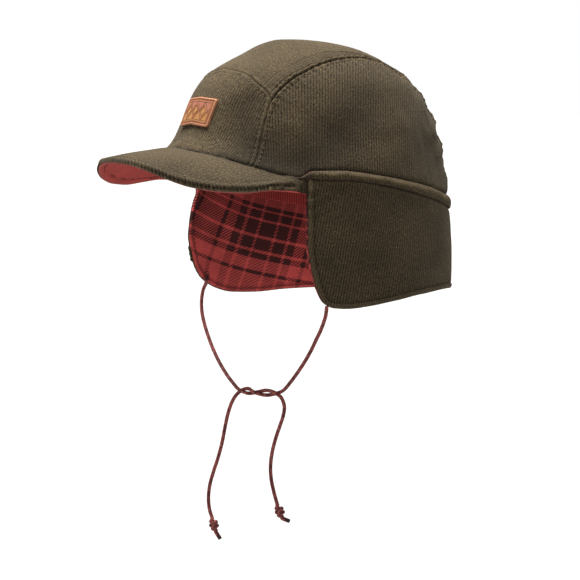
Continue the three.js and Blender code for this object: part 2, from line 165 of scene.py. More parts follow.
def bell(distance: Array, reach: float) -> Array:
    """1 at no distance, falling smoothly to nothing past the reach."""
    return np.exp(-((distance / reach) ** 2))


def ramp(value: Array, start: float, end: float) -> Array:
    """0 at the start and 1 at the end, held there outside."""
    return np.clip((value - start) / (end - start), 0, 1)


def soft_noise(points: Array, scale: float, seed: int, waves: int = 14) -> Array:
    """A smooth random field between about -1 and 1.

    Args:
        points: Places in mm, one row each.
        scale: The size of one hump, in mm.
        seed: Which field.
        waves: How many waves make it up.

    Returns:
        One value for each place.
    """
    draw = np.random.default_rng(seed)
    ways = draw.normal(size=(waves, points.shape[1]))
    ways /= np.linalg.norm(ways, axis=1, keepdims=True)
    lengths = scale * draw.uniform(1.4, 3.2, waves)
    phases = draw.uniform(0, 2 * np.pi, waves)
    total = np.sin(points @ (ways / lengths[:, None]).T * 2 * np.pi + phases)
    return total.sum(axis=1) / np.sqrt(waves)


def lumps(points: Array, rows: Rows) -> Array:
    """Soft lumps of the cloth.

    Args:
        points: Places in mm.
        rows: Each field's height and size in mm, and its seed.

    Returns:
        How far the cloth stands out.
    """
    return sum(height * soft_noise(points, size, int(seed)) for height, size, seed in rows)


def lines_beside(distance: Array, rows: Rows) -> Array:
    """Raised and sunken lines beside a seam or an edge.

    Args:
        distance: From the seam or the edge, in mm.
        rows: Each line's height, its distance and its reach.

    Returns:
        How far the cloth stands out, or how strong the lines are.
    """
    return sum(height * bell(distance - place, reach) for height, place, reach in rows)


@dataclass(frozen=True)
class Ripple:
    """Uneven waves along a seam or an edge, in mm."""

    length: float
    drift: float
    drift_length: float
    seed: int
    waves: int = 6

    def at(self, along: Array) -> Array:
        """The waves at distances along, from -1 to 1."""
        drift = soft_noise(along[:, None], self.drift_length, self.seed, self.waves)
        return np.sin(2 * np.pi * along / self.length + self.drift * drift)


RIM: Rows = (
    (0, 25.0), (25, 20.2), (45, 11.8), (61, 5.5), (75, 5.0), (90, 1.6), (105, -3.6), (120, -9.4),
    (135, -15.0), (155, -19.5), (180, -21.0),
)
# Share of the crown's height, then how far its front, side and back lie from the origin.
CROWN_SECTIONS: Rows = (
    (0.00, 103.0, 85.0, 103.0), (0.06, 97.0, 83.8, 102.2), (0.14, 92.5, 82.0, 101.2),
    (0.26, 88.5, 79.0, 99.4), (0.40, 84.0, 75.0, 97.4), (0.56, 77.5, 68.6, 91.3),
    (0.70, 67.4, 61.7, 80.4), (0.82, 52.2, 51.0, 63.5), (0.91, 39.1, 38.0, 43.4),
    (0.97, 29.7, 23.7, 19.9), (1.00, 20.3, 0.0, -20.3),
)
# The seam above a side panel, as y and x.
SIDE_SEAM: Rows = (
    (-78.1, 54.9), (-72.8, 51.8), (-64.7, 48.6), (-58.5, 46.2), (-30.0, 46.4), (-5.0, 45.4),
    (20.0, 42.0), (45.0, 38.6), (70.0, 37.0), (92.4, 37.0),
)
# The seam above the front panel, as x and share of the crown's height.
FRONT_SEAM: Rows = (
    (0.0, 0.730), (20.0, 0.700), (35.0, 0.625), (45.6, 0.525), (48.2, 0.360), (51.4, 0.130), (54.9, 0.000),
)
# Soft hollows of the crown: x, y, z, reach and depth.
DENTS: Rows = (
    (77, -26, 30, 17, 2.6), (70, -50, 13, 13, 1.3), (73, 0, 46, 15, 1.3), (38, -72, 52, 12, 1.1),
    (50, -72, 20, 15, 1.1), (42, -78, 38, 13, 0.8),
    (66, 60, 22, 18, 1.8), (-75, 0, 42, 24, 2.0), (-66, 55, 30, 18, 1.8),
)
WELT_HEIGHT: Rows = ((0, 0.0), (58, 0.0), (64, 4.8), (90, 5.5), (120, 7.0), (180, 8.5))
# The curtain's lower edge: degrees from the front, z on the left and on the right.
HEM: Rows = (
    (62, -42.0, -52.0), (63, -52.0, -57.5), (65, -66.0, -63.5), (68, -76.5, -69.0), (72, -79.6, -73.4),
    (77, -80.2, -77.2), (86, -79.0, -81.0), (98, -76.2, -81.8), (110, -73.6, -80.4),
    (130, -72.2, -79.2), (152, -74.2, -77.8), (180, -77.0, -77.0),
)
# How many degrees the right front edge hangs further back, at a share of its drop.
RIGHT_SET_BACK: Rows = (
    (0, 3.6), (0.25, 5.2), (0.36, 3.5), (0.48, 2.1), (0.63, 1.2), (0.77, 0.9), (0.9, 1.8), (1, 3.2),
)
SWELL: Rows = ((62, 0.8), (90, 1.4), (130, 3.0), (180, 3.0))
SWEATBAND_DROP: Rows = ((0, 2.0), (62, 2.0), (78, 13.5), (180, 13.5))
# The peak's free edge: degrees from the temple to the tip, z on the left and on the right.
PEAK_EDGE: Rows = (
    (0, -2.0, 2.4), (10, 0.9, 4.0), (20, 1.4, 4.2), (30, -0.1, 2.4), (40, 0.8, 1.4), (50, 3.6, 2.5),
    (60, 8.8, 6.0), (70, 14.6, 11.6), (80, 18.0, 16.8), (90, 18.9, 18.9),
)


@dataclass(frozen=True)
class CapForm:
    """The cap's main surfaces, from its named sizes."""

    half_width: float = 85.0
    half_length: float = 103.0
    apex: float = 96.0
    middle: tuple[float, float, float] = (0.0, -5.0, 25.0)
    corner_y: float = -58.5
    strip_axis: tuple[float, float] = (-10.0, 20.0)
    strip_back: float = 197.7
    curtain_edge: float = 62.0
    wave: float = 1.1
    waves: float = 3.5
    set_back_reach: float = 30.0
    temple_x: float = 74.0
    temple_y: float = -50.0
    tip_y: float = -154.5
    side_power: float = 0.84
    front_power: float = 1.35
    crest: float = 1.2
    crest_span: float = 40.0
    front_seam_ends: Span = (54.9, 46.2)
    brow_reach: float = 46.0
    nape_y: float = 92.0
    halvings: int = 34
    rim_curve: SmoothCurve = SmoothCurve(RIM)
    welt_curve: SmoothCurve = SmoothCurve(WELT_HEIGHT)
    side_seam: SmoothCurve = SmoothCurve(SIDE_SEAM)
    front_seam: SmoothCurve = SmoothCurve(FRONT_SEAM)
    swell_curve: SmoothCurve = SmoothCurve(SWELL)
    set_back_curve: SmoothCurve = SmoothCurve(RIGHT_SET_BACK)
    peak_edge_curves: tuple[SmoothCurve, SmoothCurve] = (SmoothCurve(PEAK_EDGE, 1), SmoothCurve(PEAK_EDGE, 2))
    section_curves: tuple[SmoothCurve, ...] = tuple(
        SmoothCurve([(np.arcsin(row[0]), *row[1:]) for row in CROWN_SECTIONS], value) for value in (1, 2, 3)
    )
    hem_curves: tuple[SmoothCurve, SmoothCurve] = (SmoothCurve(HEM, 1), SmoothCurve(HEM, 2))

    def spread(self, turn: Array) -> Array:
        """Degrees from the front, 0 to 180, on whichever side."""
        whole = np.mod(turn, FULL_TURN)
        return np.minimum(whole, FULL_TURN - whole)

    def rim_height(self, turn: Array) -> Array:
        """The height of the seam round the opening at a turn from the front."""
        return self.rim_curve(self.spread(turn))

    def welt_height(self, turn: Array) -> Array:
        """How tall the rolled fold is at a turn from the front."""
        return self.welt_curve(self.spread(turn))

    def turn_at(self, x: Array, y: Array) -> Array:
        """The turn from the front at a place, seen from above."""
        return np.degrees(np.arctan2(x / self.half_width, -y / self.half_length))

    def section(self, share: Array) -> tuple[Array, Array, Array]:
        """The crown's level section at a share of its height.

        Args:
            share: 0 at the rim and 1 at the top.

        Returns:
            Its half width, the y of its middle, and its half length.
        """
        lift = np.arcsin(np.clip(share, 0, 1))
        front, side, back = (curve(lift) for curve in self.section_curves)
        return side, (back - front) / 2, (back + front) / 2

    def crown_height(self, x: Array, y: Array, share: Array) -> Array:
        """The height of a place on the crown."""
        rim = self.rim_height(self.turn_at(x, y))
        return rim + (self.apex - rim) * share

    def side_point(self, y: Array, share: Array, hand: int) -> Array:
        """The crown's outer face where the plane at y reaches a share of its height."""
        side, middle, half = self.section(share)
        x = hand * side * np.sqrt(np.maximum(0, 1 - ((y - middle) / half) ** 2))
        return np.stack([x, y + 0 * x, self.crown_height(x, y, share)], -1)

    def front_point(self, x: Array, share: Array) -> Array:
        """The crown's outer face where the plane at x reaches a share of its height."""
        side, middle, half = self.section(share)
        y = middle - half * np.sqrt(np.maximum(0, 1 - (x / np.maximum(side, 1e-6)) ** 2))
        return np.stack([x + 0 * y, y, self.crown_height(x, y, share)], -1)

    def top_point(self, x: Array, swing: Array) -> Array:
        """The crown's outer face at x, at an angle from the front round the strip's axis."""
        x, swing = np.broadcast_arrays(np.asarray(x, float), np.radians(swing))
        inside = np.zeros(x.shape)
        outside = np.full(x.shape, 2 * self.half_length)
        for _ in range(self.halvings):
            reach = (inside + outside) / 2
            y = self.strip_axis[0] - np.cos(swing) * reach
            z = self.strip_axis[1] + np.sin(swing) * reach
            rim = self.rim_height(self.turn_at(x, y))
            share = (z - rim) / (self.apex - rim)
            side, middle, half = self.section(share)
            side, half = np.maximum(side, 1e-6), np.maximum(half, 1e-6)
            out = (share >= 1) | ((x / side) ** 2 + ((y - middle) / half) ** 2 > 1)
            outside = np.where(out, reach, outside)
            inside = np.where(out, inside, reach)
        y = self.strip_axis[0] - np.cos(swing) * inside
        z = self.strip_axis[1] + np.sin(swing) * inside
        return np.stack([x, y, z], -1)

    def seam_share(self, y: Array, hand: int) -> Array:
        """The share of the height at which a side panel ends, at y."""
        low, high = np.zeros(np.shape(y)), np.ones(np.shape(y))
        for _ in range(self.halvings):
            share = (low + high) / 2
            below = np.abs(self.side_point(y, share, hand)[..., 0]) > self.side_seam(y)
            low, high = np.where(below, share, low), np.where(below, high, share)
        return low

    def inward(self, points: Array, depth: Array) -> Array:
        """Points of the crown moved towards its middle by a depth."""
        way = np.array(self.middle) - points
        way /= np.linalg.norm(way, axis=-1, keepdims=True)
        return points + way * np.asarray(depth)[..., None]

    def hollow(self, points: Array) -> Array:
        """How deep the crown's soft hollows are at places on it."""
        return sum(
            deep * bell(np.linalg.norm(points - np.array([x, y, z]), axis=-1), reach)
            for x, y, z, reach, deep in DENTS
        )

    def dented(self, points: Array) -> Array:
        """Points of the crown with its soft hollows pressed in."""
        return self.inward(points, self.hollow(points))

    def rim_point(self, turn: Array, offset: Array, z: Array) -> Array:
        """A place round the opening, pushed out by an offset."""
        angle = np.radians(turn)
        x = (self.half_width + offset) * np.sin(angle)
        y = -(self.half_length + offset) * np.cos(angle)
        return np.stack(np.broadcast_arrays(x, y, z), -1)

    def inner_point(self, turn: Array, z: Array, inset: Array) -> Array:
        """A place inside the crown or the curtain, set in from the crown's outer face."""
        rim = self.rim_height(turn)
        side, middle, half = self.section((z - rim) / (self.apex - rim))
        x = (side - inset) * np.sin(np.radians(turn))
        y = middle - (half - inset) * np.cos(np.radians(turn))
        return np.stack(np.broadcast_arrays(x, y, z), -1)

    def hem_height(self, turn: Array) -> Array:
        """The height of the curtain's lower edge."""
        left, right = (curve(self.spread(turn)) for curve in self.hem_curves)
        return np.where(np.asarray(turn) <= HALF_TURN, left, right)

    def curtain_turn(self, turn: Array, share: Array) -> Array:
        """Where the curtain hangs, nominally at a turn, at a share of its drop."""
        ease = np.maximum(0, 1 - (self.spread(turn) - self.curtain_edge) / self.set_back_reach)
        return np.where(turn > HALF_TURN, turn - self.set_back_curve(share) * ease, turn)

    def curtain_top(self, turn: Array) -> Array:
        """The rim's height over the curtain, nominally at a turn."""
        return self.rim_height(self.curtain_turn(turn, 0.0))

    def curtain_point(self, turn: Array, share: Array, inset: float, top: Array, hem: Array) -> Array:
        """The curtain at a turn and a share of its drop, set in from its outer face."""
        z = top + (hem - top) * share
        wave = np.sin(np.radians((turn - self.curtain_edge) * self.waves))
        swell = self.swell_curve(self.spread(turn)) * (1 - (1 - share) ** 3) + self.wave * wave * share
        return self.rim_point(self.curtain_turn(turn, share), swell - inset, z)

    def peak_edge(self, x: Array) -> tuple[Array, Array]:
        """The y and z of the peak's free edge at x."""
        cosine = np.abs(x / self.temple_x) ** (1 / self.side_power)
        sine = np.sqrt(np.maximum(0, 1 - cosine**2))
        y = self.temple_y + (self.tip_y - self.temple_y) * sine**self.front_power
        left, right = (curve(np.degrees(np.arcsin(sine))) for curve in self.peak_edge_curves)
        return y, np.where(x < 0, right, left)

    def peak_point(self, x: Array, out: Array, root_inset: Array, edge_inset: float) -> Array:
        """The peak's upper face at x, from the crown's seam out to its free edge."""
        width, length = self.half_width - root_inset, self.half_length - root_inset
        root_y = -length * np.sqrt(1 - (x / width) ** 2)
        edge_y, edge_z = self.peak_edge(x)
        y = root_y + (edge_y + edge_inset - root_y) * out
        root_z = self.rim_height(self.turn_at(x, root_y))
        crest = self.crest * np.sin(np.pi * out) * ramp(root_y - edge_y, 0, self.crest_span)
        return np.stack(np.broadcast_arrays(x, y, root_z + (edge_z - root_z) * out + crest), -1)


FORM = CapForm()


class SeamLine:
    """A seam or an edge as a fine chain of points, in mm."""

    def __init__(self, points: Array) -> None:
        """Measures the chain.

        Args:
            points: Places along it, in order.
        """
        self.points = points
        steps = np.linalg.norm(np.diff(points, axis=0), axis=1)
        self.along = np.concatenate([[0.0], np.cumsum(steps)])

    @property
    def length(self) -> float:
        """The seam's length in mm."""
        return float(self.along[-1])

    def at(self, along: Array) -> Array:
        """Places at distances along the seam."""
        return np.stack([np.interp(along, self.along, self.points[:, i]) for i in range(3)], -1)

    def nearest(self, points: Array) -> tuple[Array, Array]:
        """How far places lie from the seam, and where along it.

        Args:
            points: Places in mm.

        Returns:
            The distance of each, and the distance along the seam of its nearest point.
        """
        distance = np.empty(len(points))
        along = np.empty(len(points))
        for start in range(0, len(points), NEAREST_AT_ONCE):
            part = slice(start, start + NEAREST_AT_ONCE)
            gap = ((points[part, None, :] - self.points[None]) ** 2).sum(-1)
            best = gap.argmin(axis=1)
            distance[part] = np.sqrt(gap[np.arange(len(best)), best])
            along[part] = self.along[best]
        return distance, along


def front_seam_line(hand: int) -> SeamLine:
    """The seam between the front panel and a side panel, from the rim up."""
    x = np.linspace(*FORM.front_seam_ends, 90)
    return SeamLine(FORM.dented(FORM.front_point(hand * x, FORM.front_seam(x))))


def brow_seam_line() -> SeamLine:
    """The seam between the front panel and the strip over the top."""
    x = np.linspace(-FORM.brow_reach, FORM.brow_reach, 200)
    return SeamLine(FORM.dented(FORM.front_point(x, FORM.front_seam(np.abs(x)))))


def top_seam_line(hand: int) -> SeamLine:
    """The seam between a side panel and the strip over the top, from the front back."""
    y = FORM.corner_y + (FORM.nape_y - FORM.corner_y) * (1 - (1 - np.linspace(0, 1, 400)) ** 2)
    return SeamLine(FORM.dented(FORM.side_point(y, FORM.seam_share(y, hand), hand)))


def rim_line(start: float, end: float, count: int = 500) -> SeamLine:
    """The seam round the opening between two turns from the front."""
    turn = np.linspace(start, end, count)
    return SeamLine(FORM.rim_point(turn, 0.0, FORM.rim_height(turn)))


@dataclass(frozen=True)
class SeamLook:
    """How a sewn seam shapes the cloth beside it, in mm."""

    groove: float = 1.3
    groove_reach: float = 0.85
    stitch_gap: float = 2.9
    channel: float = 0.45
    channel_reach: float = 0.75
    ridge: float = 0.45
    ridge_gap: float = 1.6
    ridge_reach: float = 1.0
    pucker: float = 0.62
    pucker_gap: float = 1.2
    pucker_reach: float = 6.0
    ripple: Ripple = Ripple(5.0, 1.6, 14.0, 5)

    def relief(self, distance: Array, along: Array, depth: Array) -> Array:
        """How far the cloth stands out beside the seam.

        Args:
            distance: From the seam, in mm.
            along: Where along the seam, in mm.
            depth: How much of the full groove and gathers the seam has.

        Returns:
            The height over the smooth surface.
        """
        gathers = self.pucker * depth * self.ripple.at(along)
        return (
            -self.groove * depth * bell(distance, self.groove_reach)
            - self.channel * bell(distance - self.stitch_gap, self.channel_reach)
            + self.ridge * bell(distance - self.ridge_gap, self.ridge_reach)
            + gathers * np.exp(-distance / self.pucker_reach) * (1 - bell(distance, self.pucker_gap))
        )


@dataclass(frozen=True)
class Corduroy:
    """The cloth's ribs, in mm."""

    pitch: float = 1.95
    height: float = 0.36
    fullness: float = 0.7
    level: float = 0.6
    per_rib: int = 6
    per_soft_rib: int = 4

    def relief(self, across: Array) -> Array:
        """How far the pile stands out, at a distance across the ribs."""
        return self.height * (np.abs(np.sin(np.pi * across / self.pitch)) ** self.fullness - self.level)

    def columns(self, width: float, modelled: bool = True) -> tuple[int, float]:
        """How many columns of faces fit a width, and the width of whole ribs.

        Args:
            width: In mm.
            modelled: Whether the mesh shows each rib fully, or leaves most of it to the finish.

        Returns:
            The columns, and the width in mm.
        """
        ribs = max(1, round(width / self.pitch))
        return ribs * (self.per_rib if modelled else self.per_soft_rib), ribs * self.pitch


RIBS = Corduroy()
SEAM = SeamLook()


def deselect_all() -> None:
    """Leaves nothing selected, so an operator acts on new pieces alone."""
    for each in bpy.context.selected_objects:
        each.select_set(False)


def make_active(piece: bpy.types.Object) -> None:
    """Selects a piece, and nothing else, and makes it the active one."""
    deselect_all()
    piece.select_set(True)
    bpy.context.view_layer.objects.active = piece


def in_edit_mode(piece: bpy.types.Object, work: Callable[[], None]) -> None:
    """Runs edit-mode operators on the whole of a piece.

    Args:
        piece: What is edited.
        work: The operators to run, with all of the piece selected.
    """
    make_active(piece)
    bpy.ops.object.mode_set(mode="EDIT")
    bpy.ops.mesh.select_all(action="SELECT")
    work()
    bpy.ops.object.mode_set(mode="OBJECT")


def coordinates(mesh: bpy.types.Mesh) -> Array:
    """A mesh's vertices in mm."""
    flat = np.empty(3 * len(mesh.vertices))
    mesh.vertices.foreach_get("co", flat)
    return flat.reshape(-1, 3) / MM


def place_vertices(mesh: bpy.types.Mesh, points: Array) -> None:
    """Moves a mesh's vertices to places in mm."""
    mesh.vertices.foreach_set("co", (points * MM).ravel())
    mesh.update()


def outward_normals(mesh: bpy.types.Mesh) -> Array:
    """The mesh's smooth normals, one for each vertex."""
    flat = np.empty(3 * len(mesh.vertices))
    mesh.vertices.foreach_get("normal", flat)
    return flat.reshape(-1, 3)


def write_uv(mesh: bpy.types.Mesh, cloth: Array) -> None:
    """Writes a place on the flat cloth into the mesh's UV map.

    Args:
        mesh: The mesh.
        cloth: One pair for each vertex.
    """
    layer = mesh.uv_layers.active or mesh.uv_layers.new(name="cloth")
    layer.name = "cloth"
    corner = np.empty(len(mesh.loops), dtype=np.int32)
    mesh.loops.foreach_get("vertex_index", corner)
    layer.data.foreach_set("uv", cloth[corner].astype(np.float32).ravel())


def write_values(mesh: bpy.types.Mesh, name: str, values: Array) -> None:
    """Writes one number for each vertex into a named attribute."""
    layer = mesh.attributes.get(name) or mesh.attributes.new(name, "FLOAT", "POINT")
    layer.data.foreach_set("value", values.astype(np.float32))


def add_grid(name: str, columns: int, rows: int) -> tuple[bpy.types.Object, Array, Array]:
    """Adds a flat grid whose vertices are then laid on a surface.

    Args:
        name: The piece's name.
        columns: Faces across.
        rows: Faces up.

    Returns:
        The piece, and each vertex's share across and up.
    """
    deselect_all()
    bpy.ops.mesh.primitive_grid_add(
        x_subdivisions=columns, y_subdivisions=rows, size=1.0, location=(0, 0, 0), calc_uvs=True
    )
    piece = bpy.context.object
    piece.name = name
    piece.data.name = name
    flat = coordinates(piece.data) * MM + 0.5
    return piece, np.clip(flat[:, 0], 0, 1), np.clip(flat[:, 1], 0, 1)


def finish_piece(
    piece: bpy.types.Object, materials: Sequence[bpy.types.Material], nodes: Sequence[str] = ()
) -> bpy.types.Object:
    """Dresses and smooths a piece, and tells the frame what it rides on and stands for.

    Args:
        piece: The finished mesh.
        materials: The face's first, then that of what lies behind it.
        nodes: The frame's nodes that it replaces.

    Returns:
        The piece.
    """
    piece.data.materials.clear()
    for material in materials:
        piece.data.materials.append(material)
    make_active(piece)
    bpy.ops.object.shade_smooth_by_angle(angle=np.radians(SMOOTH_ANGLE))
    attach(piece, "root")
    if nodes:
        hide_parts(*nodes)
    LOG.info("%s: %d faces", piece.name, len(piece.data.polygons))
    return piece


@dataclass
class Layer:
    """A layer of cloth as numbers: both faces, its place on the flat cloth, its relief.

    The lightening value is 1 where the cloth is drawn lighter: rubbed pile and burnished leather, and a
    painted highlight on raised ridges and rolled edges. The darkening value is 1 where painted shade is laid
    in seams, grooves and hollows and under folds.
    """

    shown: Array
    hidden: Array
    cloth: Array
    relief: Array
    wear_and_highlight: Array
    painted_shade: Array | None = None


def edge_shares(length: float, near: Sequence[float], middle: int, both: bool = True) -> Array:
    """Row places that crowd towards the edges of a layer.

    Args:
        length: The layer's length in mm.
        near: Distances from an edge, in mm, that get a row each.
        middle: How many rows fill the rest.
        both: Whether the start is crowded as well as the end.

    Returns:
        Shares of the length from 0 to 1.
    """
    near = np.array(near) / length
    start = near if both else near[:1]
    between = np.linspace(start[-1], 1 - near[-1], middle + 1)[1:-1]
    return np.concatenate([start, between, (1 - near)[::-1]])


def build_layer(
    name: str, columns: int, shares: Array, shape: Callable[[Array, Array], Layer]
) -> bpy.types.Object:
    """Makes a closed wall of cloth from a shape's two faces.

    Args:
        name: The piece's name.
        columns: Faces across.
        shares: The rows' places, from 0 to 1.
        shape: Gives the layer at shares across and up.

    Returns:
        The piece.
    """
    piece, across, up = add_grid(name, columns, len(shares) - 1)
    mesh = piece.data
    up = np.interp(up * (len(shares) - 1), np.arange(len(shares)), shares)
    layer = shape(across, up)
    place_vertices(mesh, layer.shown)
    if np.mean(np.sum(outward_normals(mesh) * (layer.shown - layer.hidden), axis=1)) < 0:
        mesh.flip_normals()
        mesh.update()
    place_vertices(mesh, layer.shown + outward_normals(mesh) * layer.relief[:, None])
    write_uv(mesh, layer.cloth)
    write_values(mesh, "wear_and_highlight", layer.wear_and_highlight)
    if layer.painted_shade is not None:
        write_values(mesh, "painted_shade", layer.painted_shade)
    count = len(mesh.vertices)
    make_active(piece)
    bpy.ops.object.modifier_add(type="SOLIDIFY")
    solidify = piece.modifiers[-1]
    solidify.thickness = MM
    solidify.offset = -1.0
    solidify.material_offset = 1
    bpy.ops.object.modifier_apply(modifier=solidify.name)
    points = coordinates(piece.data)
    points[count : 2 * count] = layer.hidden
    place_vertices(piece.data, points)
    return piece


def arc_lengths(points: Array) -> Array:
    """Distances along a chain of points, starting at 0."""
    return np.concatenate([[0.0], np.cumsum(np.linalg.norm(np.diff(points, axis=0), axis=1))])


def edge_roll(distance: Array, radius: float) -> Array:
    """How far a turned edge curls back, at a distance from it."""
    inside = np.clip(radius - distance, 0, radius)
    return -(radius - np.sqrt(np.maximum(0, radius**2 - inside**2)))


@dataclass(frozen=True)
class Grain:
    """A noise texture: its scale, detail and roughness, and how often it repeats on a cloth map."""

    scale: float
    detail: float = 2.0
    rough: float = 0.5
    across: float = 1.0
    along: float = 1.0


class Shader:
    """Builds one material's nodes with short calls."""

    sheen_roughness: float = 0.45
    specular: float = 0.25

    def __init__(self, name: str) -> None:
        """Starts an empty material with a principled shader.

        Args:
            name: The material's name.
        """
        self.material = bpy.data.materials.new(name)
        self.material.use_nodes = True
        self.tree = self.material.node_tree
        self.tree.nodes.clear()
        self.surface = self.add("BsdfPrincipled")
        self.tree.links.new(self.surface.outputs["BSDF"], self.add("OutputMaterial").inputs["Surface"])
        self.cloth: tuple[Socket, Socket] | None = None

    def add(self, kind: str) -> bpy.types.Node:
        """Adds a node of a kind."""
        return self.tree.nodes.new(f"ShaderNode{kind}")

    def feed(self, socket: Socket, value: object) -> None:
        """Links a socket to another, or sets its number or colour."""
        if isinstance(value, Socket):
            self.tree.links.new(value, socket)
        else:
            socket.default_value = (*value, 1.0) if isinstance(value, tuple) else value

    def math(self, operation: str, first: object, second: object = 0.0) -> Socket:
        """One math node's result."""
        node = self.add("Math")
        node.operation = operation
        for socket, value in zip(node.inputs, (first, second)):
            self.feed(socket, value)
        return node.outputs[0]

    def times(self, first: object, second: object) -> Socket:
        """Two numbers multiplied."""
        return self.math("MULTIPLY", first, second)

    def plus(self, first: object, second: object) -> Socket:
        """Two numbers added."""
        return self.math("ADD", first, second)

    def uv(self) -> tuple[Socket, Socket]:
        """The two numbers of the piece's own cloth map."""
        if self.cloth is None:
            node, split = self.add("UVMap"), self.add("SeparateXYZ")
            node.uv_map = "cloth"
            self.tree.links.new(node.outputs["UV"], split.inputs[0])
            self.cloth = split.outputs[0], split.outputs[1]
        return self.cloth

    def value(self, name: str) -> Socket:
        """A number that the mesh carries at each vertex."""
        node = self.add("Attribute")
        node.attribute_name = name
        return node.outputs["Fac"]

    def combine(self, x: object, y: object, z: object = 0.0) -> Socket:
        """A vector from three numbers."""
        node = self.add("CombineXYZ")
        for socket, number in zip(node.inputs, (x, y, z)):
            self.feed(socket, number)
        return node.outputs[0]

    def object_place(self) -> Socket:
        """The place on the object, in metres."""
        return self.add("TexCoord").outputs["Object"]

    def noise(self, vector: Socket, grain: Grain) -> Socket:
        """A noise texture's grey value."""
        node = self.add("TexNoise")
        for key, number in (("Scale", grain.scale), ("Detail", grain.detail), ("Roughness", grain.rough)):
            node.inputs[key].default_value = number
        self.tree.links.new(vector, node.inputs["Vector"])
        return node.outputs["Fac"]

    def object_noise(self, grain: Grain) -> Socket:
        """A noise that fills space."""
        return self.noise(self.object_place(), grain)

    def cloth_noise(self, grain: Grain) -> Socket:
        """A noise that lies on the piece's own cloth map."""
        across, along = self.uv()
        place = self.combine(self.times(across, grain.across), self.times(along, grain.along))
        return self.noise(place, grain)

    def ribs(self, across: Socket) -> Socket:
        """The rounded profile of ribs, 0 in a groove and 1 on a ridge."""
        return self.math("ABSOLUTE", self.math("SINE", self.times(across, np.pi)))

    def mix(self, factor: object, first: object, second: object, blend: str = "MIX") -> Socket:
        """Two colours mixed."""
        node = self.add("Mix")
        node.data_type = "RGBA"
        node.blend_type = blend
        self.feed(node.inputs["Factor"], factor)
        for key, value in (("A", first), ("B", second)):
            self.feed(next(s for s in node.inputs if s.name == key and s.type == "RGBA"), value)
        return next(s for s in node.outputs if s.type == "RGBA")

    def range(self, value: Socket, span: Span, low: float, high: float) -> Socket:
        """A number carried from a span to a low and a high end, and held there."""
        node = self.add("MapRange")
        for key, number in zip(("From Min", "From Max", "To Min", "To Max"), (*span, low, high)):
            node.inputs[key].default_value = number
        self.tree.links.new(value, node.inputs["Value"])
        return node.outputs["Result"]

    def scaled(
        self, colour: object, value: Socket, low: float, high: float, span: Span = NOISE_SPAN
    ) -> Socket:
        """A colour made darker and lighter by a number.

        Args:
            colour: The colour.
            value: The number, such as a noise.
            low: What the colour is multiplied by where the number is low.
            high: What it is multiplied by where the number is high.
            span: Where the number counts as low and as high.

        Returns:
            The new colour.
        """
        factor = self.range(value, span, low, high)
        return self.mix(1.0, colour, self.combine(factor, factor, factor), "MULTIPLY")

    def bump(self, height: Socket, strength: float, distance: float) -> None:
        """Gives the surface a fine relief, its distance in mm."""
        node = self.add("Bump")
        node.inputs["Strength"].default_value = strength
        node.inputs["Distance"].default_value = distance * MM
        self.tree.links.new(height, node.inputs["Height"])
        self.tree.links.new(node.outputs[0], self.surface.inputs["Normal"])

    def dress(self, colour: object, roughness: float, sheen: float, tint: Colour) -> bpy.types.Material:
        """Sets the surface's colour, roughness and sheen.

        Args:
            colour: The base colour.
            roughness: 0 is a mirror, 1 is matt.
            sheen: The weight of the soft edge light on cloth.
            tint: The sheen's colour.

        Returns:
            The material.
        """
        settings = (
            ("Base Color", colour), ("Roughness", roughness), ("Sheen Weight", sheen), ("Sheen Tint", tint),
            ("Sheen Roughness", self.sheen_roughness), ("Specular IOR Level", self.specular),
        )
        for key, value in settings:
            self.feed(self.surface.inputs[key], value)
        return self.material


@dataclass(frozen=True)
class Finish:
    """What every finish has: a name, and how it takes the light."""

    name: str
    roughness: float = 0.95
    sheen: float = 0.0
    tint: Colour = (1.0, 1.0, 1.0)

    def paint(self, shader: Shader) -> object:
        """Adds the finish's own nodes.

        Args:
            shader: The material's nodes.

        Returns:
            The surface's colour.
        """
        raise NotImplementedError

    def build(self) -> bpy.types.Material:
        """Builds the material.

        Returns:
            The material.
        """
        shader = Shader(self.name)
        return shader.dress(self.paint(shader), self.roughness, self.sheen, self.tint)


